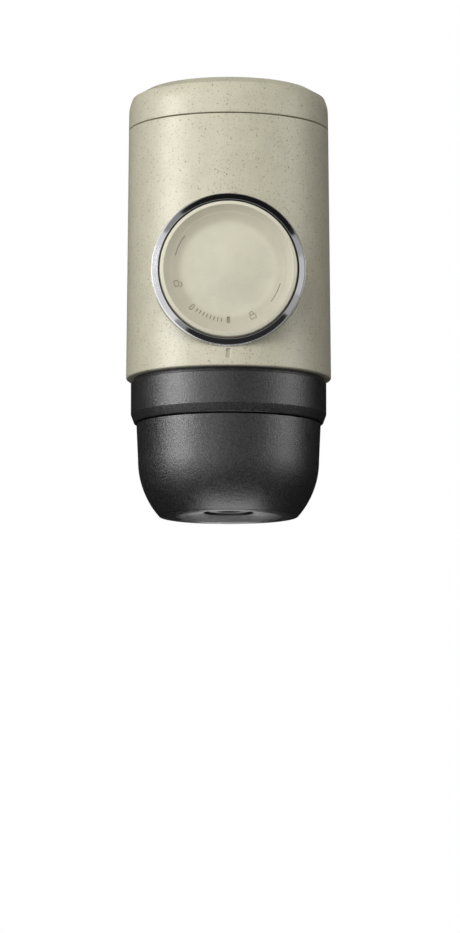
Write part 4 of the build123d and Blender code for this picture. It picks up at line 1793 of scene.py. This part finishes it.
@dataclass(frozen=True)
class FaceMarks:
    """The inked marks of the knob's face: ticks, arcs, padlocks, a slot's outline and a bar.

    Angles are in degrees, from the user's right and anticlockwise.
    """

    ink: Finish
    bowl: Bowl
    tick_count: int = 8
    tick_first: float = -97.7
    tick_pitch: float = -4.2
    tick_inner: float = 14.8 * MM
    tick_outer: float = 16.0 * MM
    tick_width: float = 0.3 * MM
    groove_width: float = 0.26 * MM
    slot_angle: float = -133.3
    slot_reach: float = 15.7 * MM
    slot_width: float = 0.75 * MM
    slot_length: float = 1.85 * MM
    slot_steps: int = 6
    arcs: tuple[Arc, ...] = (Arc(16.2 * MM, 142.5, 165.6), Arc(15.9 * MM, -38.0, -16.0))
    padlocks: tuple[Padlock, ...] = (Padlock(196.0, is_open=True), Padlock(-63.0, is_open=False))
    bar_angle: float = -90.0
    bar_reach: float = 15.25 * MM
    bar_width: float = 0.93 * MM
    bar_length: float = 2.0 * MM
    bar_depth: float = 0.22 * MM
    bar_bevel: float = 0.06 * MM
    bar_steps: int = 8

    def ticks(self) -> Piece:
        """Make the cutters of the ticks.

        Returns:
            The cutters.
        """
        row = Ticks(
            count=self.tick_count,
            inner=self.tick_inner,
            outer=self.tick_outer,
            inner_front=self.bowl.front(self.tick_inner),
            outer_front=self.bowl.front(self.tick_outer),
            first=radians(self.tick_first),
            pitch=radians(self.tick_pitch),
            width=self.tick_width,
        )
        return row.make("tick_cutters", PUMP, self.ink)

    def grooves(self) -> Piece:
        """Make the cutters of the drawn marks.

        Returns:
            The cutters.
        """
        outline = bar_outline(self.slot_width, self.slot_length, self.slot_steps)
        strokes = [Stroke(self.bowl.drawn(self.slot_reach, self.slot_angle, outline), closed=True)]
        strokes += [arc.stroke(self.bowl) for arc in self.arcs]
        for padlock in self.padlocks:
            strokes += padlock.strokes(self.bowl)
        return Grooves(strokes, self.groove_width).make("groove_cutters", self.ink)

    def bar(self) -> Piece:
        """Make the cutter of the upright bar at the bottom.

        Returns:
            The cutter, which stands square on the bowl.
        """
        outline = bar_outline(self.bar_width, self.bar_length, self.bar_steps)
        tilt = Matrix.Rotation(-atan2(self.bowl.lean(self.bar_reach), 1.0), 4, "X")
        spot = Matrix.Translation(self.bowl.place(self.bar_reach, self.bar_angle))
        bar = stamp("bar_cutter", outline, spot @ FACING @ tilt, self.bar_depth, self.bar_bevel)
        bar.data.materials.append(self.ink)
        return bar

    def sink(self, face: Piece) -> None:
        """Cut the marks into the face."""
        for cutter in (self.ticks, self.grooves, self.bar):
            cut(face, cutter(), inked=True)


@dataclass
class PushKnob:
    """Round push knob: rim, skirt and hub with its lugs, and the dished face with its marks."""

    finishes: Finishes
    bowl: Bowl = Bowl()
    wall: float = 1.6 * MM
    rim_drop: float = 0.36 * MM
    rim_lean: float = 0.25 * MM
    rim_rounding: float = 0.25 * MM
    rim_depth: float = 2.0 * MM
    pocket_radius: float = 4.6 * MM
    pocket_depth: float = 3.2 * MM
    rod_hole: float = 4.05 * MM
    hub_radius: float = 8.2 * MM
    hub_end: float = 10.6 * MM
    lug_count: int = 3
    lug_width: float = 4.2 * MM
    lug_length: float = 2.4 * MM
    lug_setback: float = 0.3 * MM
    lug_radius: float = 10.6 * MM
    edge: float = 0.2 * MM
    grid: float = 3.0 * MM
    segments: int = 256

    def shell(self) -> Piece:
        """Turn the knob's shell.

        Returns:
            The shell, with its hub and lugs.
        """
        room = Room.of("knob_shell")
        seat = Room.of("knob_face").back
        rim = self.bowl.rim()
        floor = seat - self.pocket_depth
        web_back = seat - self.wall
        inner = room.radius - self.wall
        outline = [
            Corner(self.rod_hole, floor),
            Corner(self.pocket_radius, floor),
            Corner(self.pocket_radius, seat),
            Corner(rim, seat),
            Corner(rim, room.front, self.rim_rounding / 2),
            Corner(room.radius - self.rim_lean, room.front - self.rim_drop, self.rim_rounding),
            Corner(room.radius, room.front - self.rim_depth, self.rim_rounding),
            Corner(room.radius, room.back, self.edge),
            Corner(inner, room.back, self.edge),
            Corner(inner, web_back, self.edge),
            Corner(self.hub_radius, web_back, self.edge),
            Corner(self.hub_radius, self.hub_end, self.edge),
            Corner(self.rod_hole, self.hub_end),
        ]
        shell = PUMP.lathe("knob_body", outline, self.grid, self.segments)
        lugs = PolarBlocks(
            count=self.lug_count,
            inner=self.hub_radius - self.wall,
            outer=self.lug_radius,
            width=self.lug_width,
            back=self.hub_end + self.lug_setback,
            length=self.lug_length,
            first=pi / 2,
        )
        cut(shell, lugs.make("knob_lugs", PUMP, self.finishes[Slot.CREAM]), Join.ADD)
        return shell

    def face(self) -> Piece:
        """Turn the face disc and sink its marks.

        Returns:
            The disc, with its part of the bowl.
        """
        room = Room.of("knob_face")
        outline = cylinder(room.radius, room.back, room.front)[:3] + self.bowl.points(0.0, self.bowl.seam())
        disc = PUMP.turn("knob_disc", outline, self.segments)
        disc.data.materials.append(self.finishes[Slot.FACE])
        FaceMarks(self.finishes.ink, self.bowl).sink(disc)
        return disc

    def band(self) -> Piece:
        """Turn the sloped band between the face and the rim.

        Returns:
            The band, with its part of the bowl.
        """
        seam, rim = self.bowl.seam(), self.bowl.rim()
        back = Room.of("knob_face").front - self.edge
        outline = [Vector((seam, back)), Vector((rim, back)), *self.bowl.points(seam, rim)]
        return PUMP.turn("knob_band", outline, self.segments)

    def build(self) -> None:
        """Make the knob's pieces and hang them on the knob."""
        self.finishes.seat(self.shell(), Body.KNOB, Slot.CREAM, "knob_shell")
        self.finishes.seat(self.face(), Body.KNOB, Slot.FACE, "knob_face")
        self.finishes.seat(self.band(), Body.KNOB, Slot.FACE)


@dataclass
class WaterTank:
    """Smoked vessel that screws on at the top, under its cream cap."""

    finishes: Finishes
    wall: float = 1.6 * MM
    mouth_edge: float = 0.2 * MM
    roof_edge: float = 0.8 * MM
    vessel_grid: float = 3.0 * MM
    cap_foot_radius: float = 30.3 * MM
    cap_taper: float = 0.1 * MM
    lean_start: float = 5.0 * MM
    lean_in: float = 1.0 * MM
    lean_rounding: float = 9.0 * MM
    slope_rise: float = 2.4 * MM
    slope_rounding: float = 0.5 * MM
    flat_radius: float = 25.3 * MM
    flat_drop: float = 0.2 * MM
    seam_edge: float = 0.25 * MM
    cap_grid: float = 1.6 * MM
    cap_arc_step: float = radians(5)
    cap_segments: int = 256

    def vessel(self) -> Piece:
        """Turn the vessel.

        Returns:
            The vessel, open below.
        """
        room = Room.of("water_tank")
        inner = room.radius - self.wall
        roof = room.top - self.wall
        outline = [
            Corner(room.radius, room.bottom, self.mouth_edge),
            Corner(room.radius, room.top, self.roof_edge),
            Corner(0.0, room.top),
            Corner(0.0, roof),
            Corner(inner, roof, self.roof_edge),
            Corner(inner, room.bottom, self.mouth_edge),
        ]
        return UPRIGHT.lathe("tank_vessel", outline, self.vessel_grid)

    def cap(self) -> Piece:
        """Turn the cap.

        Returns:
            The cap, which encloses the top of the vessel.
        """
        room = Room.of("tank_cap")
        vessel = Room.of("water_tank")
        shoulder = self.cap_foot_radius - self.cap_taper
        flat = room.top - self.flat_drop
        outline = [
            Corner(vessel.radius, room.bottom),
            Corner(self.cap_foot_radius, room.bottom, self.seam_edge),
            Corner(shoulder, room.top - self.lean_start, self.lean_rounding),
            Corner(shoulder - self.lean_in, room.top - self.slope_rise, self.seam_edge),
            Corner(self.flat_radius, flat, self.slope_rounding),
            Corner(0.0, flat),
            Corner(0.0, vessel.top),
            Corner(vessel.radius, vessel.top),
        ]
        return UPRIGHT.lathe("tank_cover", outline, self.cap_grid, self.cap_segments, self.cap_arc_step)

    def build(self) -> None:
        """Make the tank's pieces and hang them on the tank."""
        self.finishes.seat(self.vessel(), Body.TANK, Slot.TANK, "water_tank")
        self.finishes.seat(self.cap(), Body.TANK, Slot.CREAM, "tank_cap")


@dataclass
class ReturnSpring:
    """Wire spring between the frame and the knob, with its end turns closed up."""

    finishes: Finishes
    wire: float = 0.6 * MM
    turns: float = 6.0
    closing: float = 0.75

    def build(self) -> None:
        """Wind the spring along its room, between the body and the piston, and bake its place into its
        mesh.
        """
        room = Room.of("piston_spring")
        coil = Coil(
            radius=room.radius - self.wire,
            wire=self.wire,
            start=room.back + self.wire,
            height=room.front - room.back - 2 * self.wire,
            turns=self.turns,
            starts=1,
            closing=self.closing,
            fade=0.0,
        )
        spring = coil.wind("return_spring", PUMP, self.finishes[Slot.STEEL])
        self.finishes.dress(spring, Slot.STEEL)
        back, front = PUMP.point(0, room.back), PUMP.point(0, room.front)
        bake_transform(spring)
        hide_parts("piston_spring")
        log.info("%s: %d faces", spring.name, len(spring.data.polygons))


# ---------------------------------------------------------------- studio


@dataclass(frozen=True)
class Panel:
    """A rectangle that faces the maker's middle.

    Attributes:
        name: Its name.
        azimuth: Where it stands, in degrees to the user's right of the front.
        elevation: How high it stands, in degrees.
        distance: How far away it is, in metres.
        width: Its width, in metres.
        height: Its height, in metres.
        glow: Its brightness, where 1 is a white card in plain light and a black card has next
            to none.
    """

    name: str
    azimuth: float
    elevation: float
    distance: float
    width: float
    height: float
    glow: float = 0.012

    def stand(self) -> Matrix:
        """Find its place.

        Returns:
            Its frame, with its back away from the maker's middle.
        """
        across, up = radians(self.azimuth), radians(self.elevation)
        middle = Vector((0, 0, PUMP_HEIGHT))
        away = Vector((sin(across) * cos(up), -cos(across) * cos(up), sin(up)))
        turn = (-away).to_track_quat("-Z", "Y").to_matrix().to_4x4()
        return Matrix.Translation(middle + away * self.distance) @ turn


@dataclass(frozen=True)
class Lamp(Panel):
    """A soft lamp.

    Attributes:
        mirrored: Whether reflections show it.
    """

    mirrored: bool = True

    def hang(self) -> None:
        """Hang the lamp."""
        data = bpy.data.lights.new(self.name, "AREA")
        data.shape = "RECTANGLE"
        data.size, data.size_y = self.width, self.height
        data.energy = self.glow * pi * self.width * self.height
        holder = linked(self.name, data)
        holder.matrix_world = self.stand()
        holder.visible_camera = False
        holder.visible_glossy = self.mirrored


@dataclass(frozen=True)
class Card(Panel):
    """A card that only reflections see, as stands beside polished metal in a studio."""

    def hang(self) -> None:
        """Stand the card."""
        board = flat_sheet(self.name, self.width, self.height, self.stand())
        paint = ShaderSheet(self.name)
        glow = paint.add("ShaderNodeEmission", {"Color": WHITE, "Strength": self.glow})
        board.data.materials.append(paint.close(glow))
        board.visible_camera = False
        board.visible_diffuse = False
        board.visible_transmission = False
        board.visible_shadow = False


def flat_sheet(name: str, width: float, height: float, place: Matrix) -> Piece:
    """Make a flat rectangle of the studio.

    Args:
        name: Its name.
        width: Its width.
        height: Its height.
        place: Its frame.

    Returns:
        The rectangle.
    """
    corners = ((-1, -1), (1, -1), (1, 1), (-1, 1))
    mesh = bpy.data.meshes.new(name)
    places = [place @ Vector((x * width / 2, y * height / 2, 0)) for x, y in corners]
    mesh.from_pydata(places, [], [(0, 1, 2, 3)])
    return linked(name, mesh)


@dataclass
class Studio:
    """Camera, lamps, cards, world and floor."""

    lens: float = 162.06
    eye: tuple[float, float, float] = (0.00043, -1.256, -0.13685)
    pitch: float = 6.9055
    ambient: float = 0.12
    floor_size: float = 1.6
    floor_cloud: float = 40.0 * MM
    floor_dark: Colour = (0.80, 0.80, 0.795)
    floor_pale: Colour = (0.83, 0.83, 0.825)
    panels: tuple[Union[Lamp, Card], ...] = (
        Lamp("left_strip", -66, 4, 0.62, 0.30, 0.35, 1.3),
        Lamp("left_wash", -46, 4, 0.75, 0.8, 0.8, 0.6),
        Lamp("left_tall", -44, 5, 0.78, 0.86, 1.34, 0.35),
        Lamp("right_strip", 76, 4, 0.62, 0.30, 0.35, 1.7),
        Lamp("front_wash", 0, 0, 1.0, 1.6, 0.9, 0.35),
        Lamp("key", -18, 34, 1.0, 0.6, 0.6, 5.3, mirrored=False),
        Lamp("back_fill", 168, 34, 1.2, 0.8, 0.8, 4.6, mirrored=False),
        Card("top_card", 0, 90, 0.8, 3.0, 3.0),
        Card("back_card", 180, 46, 0.9, 3.0, 1.7),
        Card("left_card", -112, -8, 0.9, 1.5, 3.0),
        Card("right_card", 112, -8, 0.9, 1.5, 3.0),
        Card("front_card", 0, 0, 1.1, 3.0, 3.0),
        Card("low_card", 0, -90, 0.5, 3.0, 3.0, 0.03),
        Card("left_glow_card", -66, 9, 0.64, 0.30, 0.34, 8.4),
        Card("right_glow_card", 76, 10, 0.64, 0.28, 0.34, 2.0),
        Card("right_spark_card", 46, 5, 0.6, 0.13, 0.25, 0.75),
        Card("right_wash_card", 46, 5, 0.64, 0.2, 0.6, 0.5),
        Card("front_glow_card", -17, 5, 0.7, 0.28, 0.45, 1.4),
        Card("back_low_card", 180, -30, 0.9, 3.0, 1.4),
        Card("low_glow_card", 6, -76, 0.15, 0.1, 0.04, 4.4),
        Card("foot_glow_card", 180, -39, 0.128, 0.018, 0.032, 2.6),
    )

    def set_camera(self) -> None:
        """Place the camera at the eye and make it the scene's."""
        data = bpy.data.cameras.new("camera")
        data.lens = self.lens
        camera = linked("camera", data)
        camera.location = self.eye
        camera.rotation_euler = (radians(90 + self.pitch), 0, 0)
        bpy.context.scene.camera = camera

    def set_floor(self) -> None:
        """Lay the pale floor, seen from above only."""
        floor = flat_sheet("floor", self.floor_size, self.floor_size, Matrix.Identity(4))
        paint = ShaderSheet("pale_floor")
        grain = paint.remap(paint.noise(self.floor_cloud, detail=3.0), NOISE_SPAN, FULL)
        matt = {"Color": paint.tint(grain, self.floor_dark, self.floor_pale)}
        shown = paint.add("ShaderNodeBsdfDiffuse", matt).outputs[0]
        clear = paint.add("ShaderNodeBsdfTransparent").outputs[0]
        side = paint.add("ShaderNodeNewGeometry").outputs["Backfacing"]
        mixed = paint.add("ShaderNodeMixShader", {0: side, 1: shown, 2: clear})
        floor.data.materials.append(paint.close(mixed))
        floor.visible_diffuse = False
        floor.visible_glossy = False
        floor.visible_shadow = False

    def set_world(self) -> None:
        """Make the world white to the camera and in reflections, and dimmer as light."""
        world = bpy.data.worlds.new("studio")
        world.use_nodes = True
        bpy.context.scene.world = world
        sky = NodeSheet(world.node_tree)
        rays = sky.add("ShaderNodeLightPath").outputs
        seen = sky.maths("MAXIMUM", rays["Is Camera Ray"], rays["Is Glossy Ray"])
        through = sky.maths("MAXIMUM", seen, rays["Is Transmission Ray"])
        dim = sky.add("ShaderNodeBackground", {"Color": WHITE, "Strength": self.ambient}).outputs[0]
        white = sky.add("ShaderNodeBackground", {"Color": WHITE, "Strength": 1.0}).outputs[0]
        mixed = sky.add("ShaderNodeMixShader", {0: through, 1: dim, 2: white})
        sky.add("ShaderNodeOutputWorld", {"Surface": mixed.outputs[0]})

    def build(self) -> None:
        """Set the whole studio up."""
        self.set_camera()
        for panel in self.panels:
            panel.hang()
        self.set_floor()
        self.set_world()
        bpy.context.scene.view_settings.view_transform = "Standard"


# ---------------------------------------------------------------- whole


def main() -> None:
    """Build the maker from the foot up, then the studio."""
    finishes = Finishes()
    finishes.dress_frame()
    OutletHead(finishes).build()
    NeckCollar(finishes).build()
    BodyCasing(finishes).build()
    PumpBezel(finishes).build()
    PushKnob(finishes).build()
    WaterTank(finishes).build()
    ReturnSpring(finishes).build()
    Studio().build()


if __name__ == "__main__":
    main()
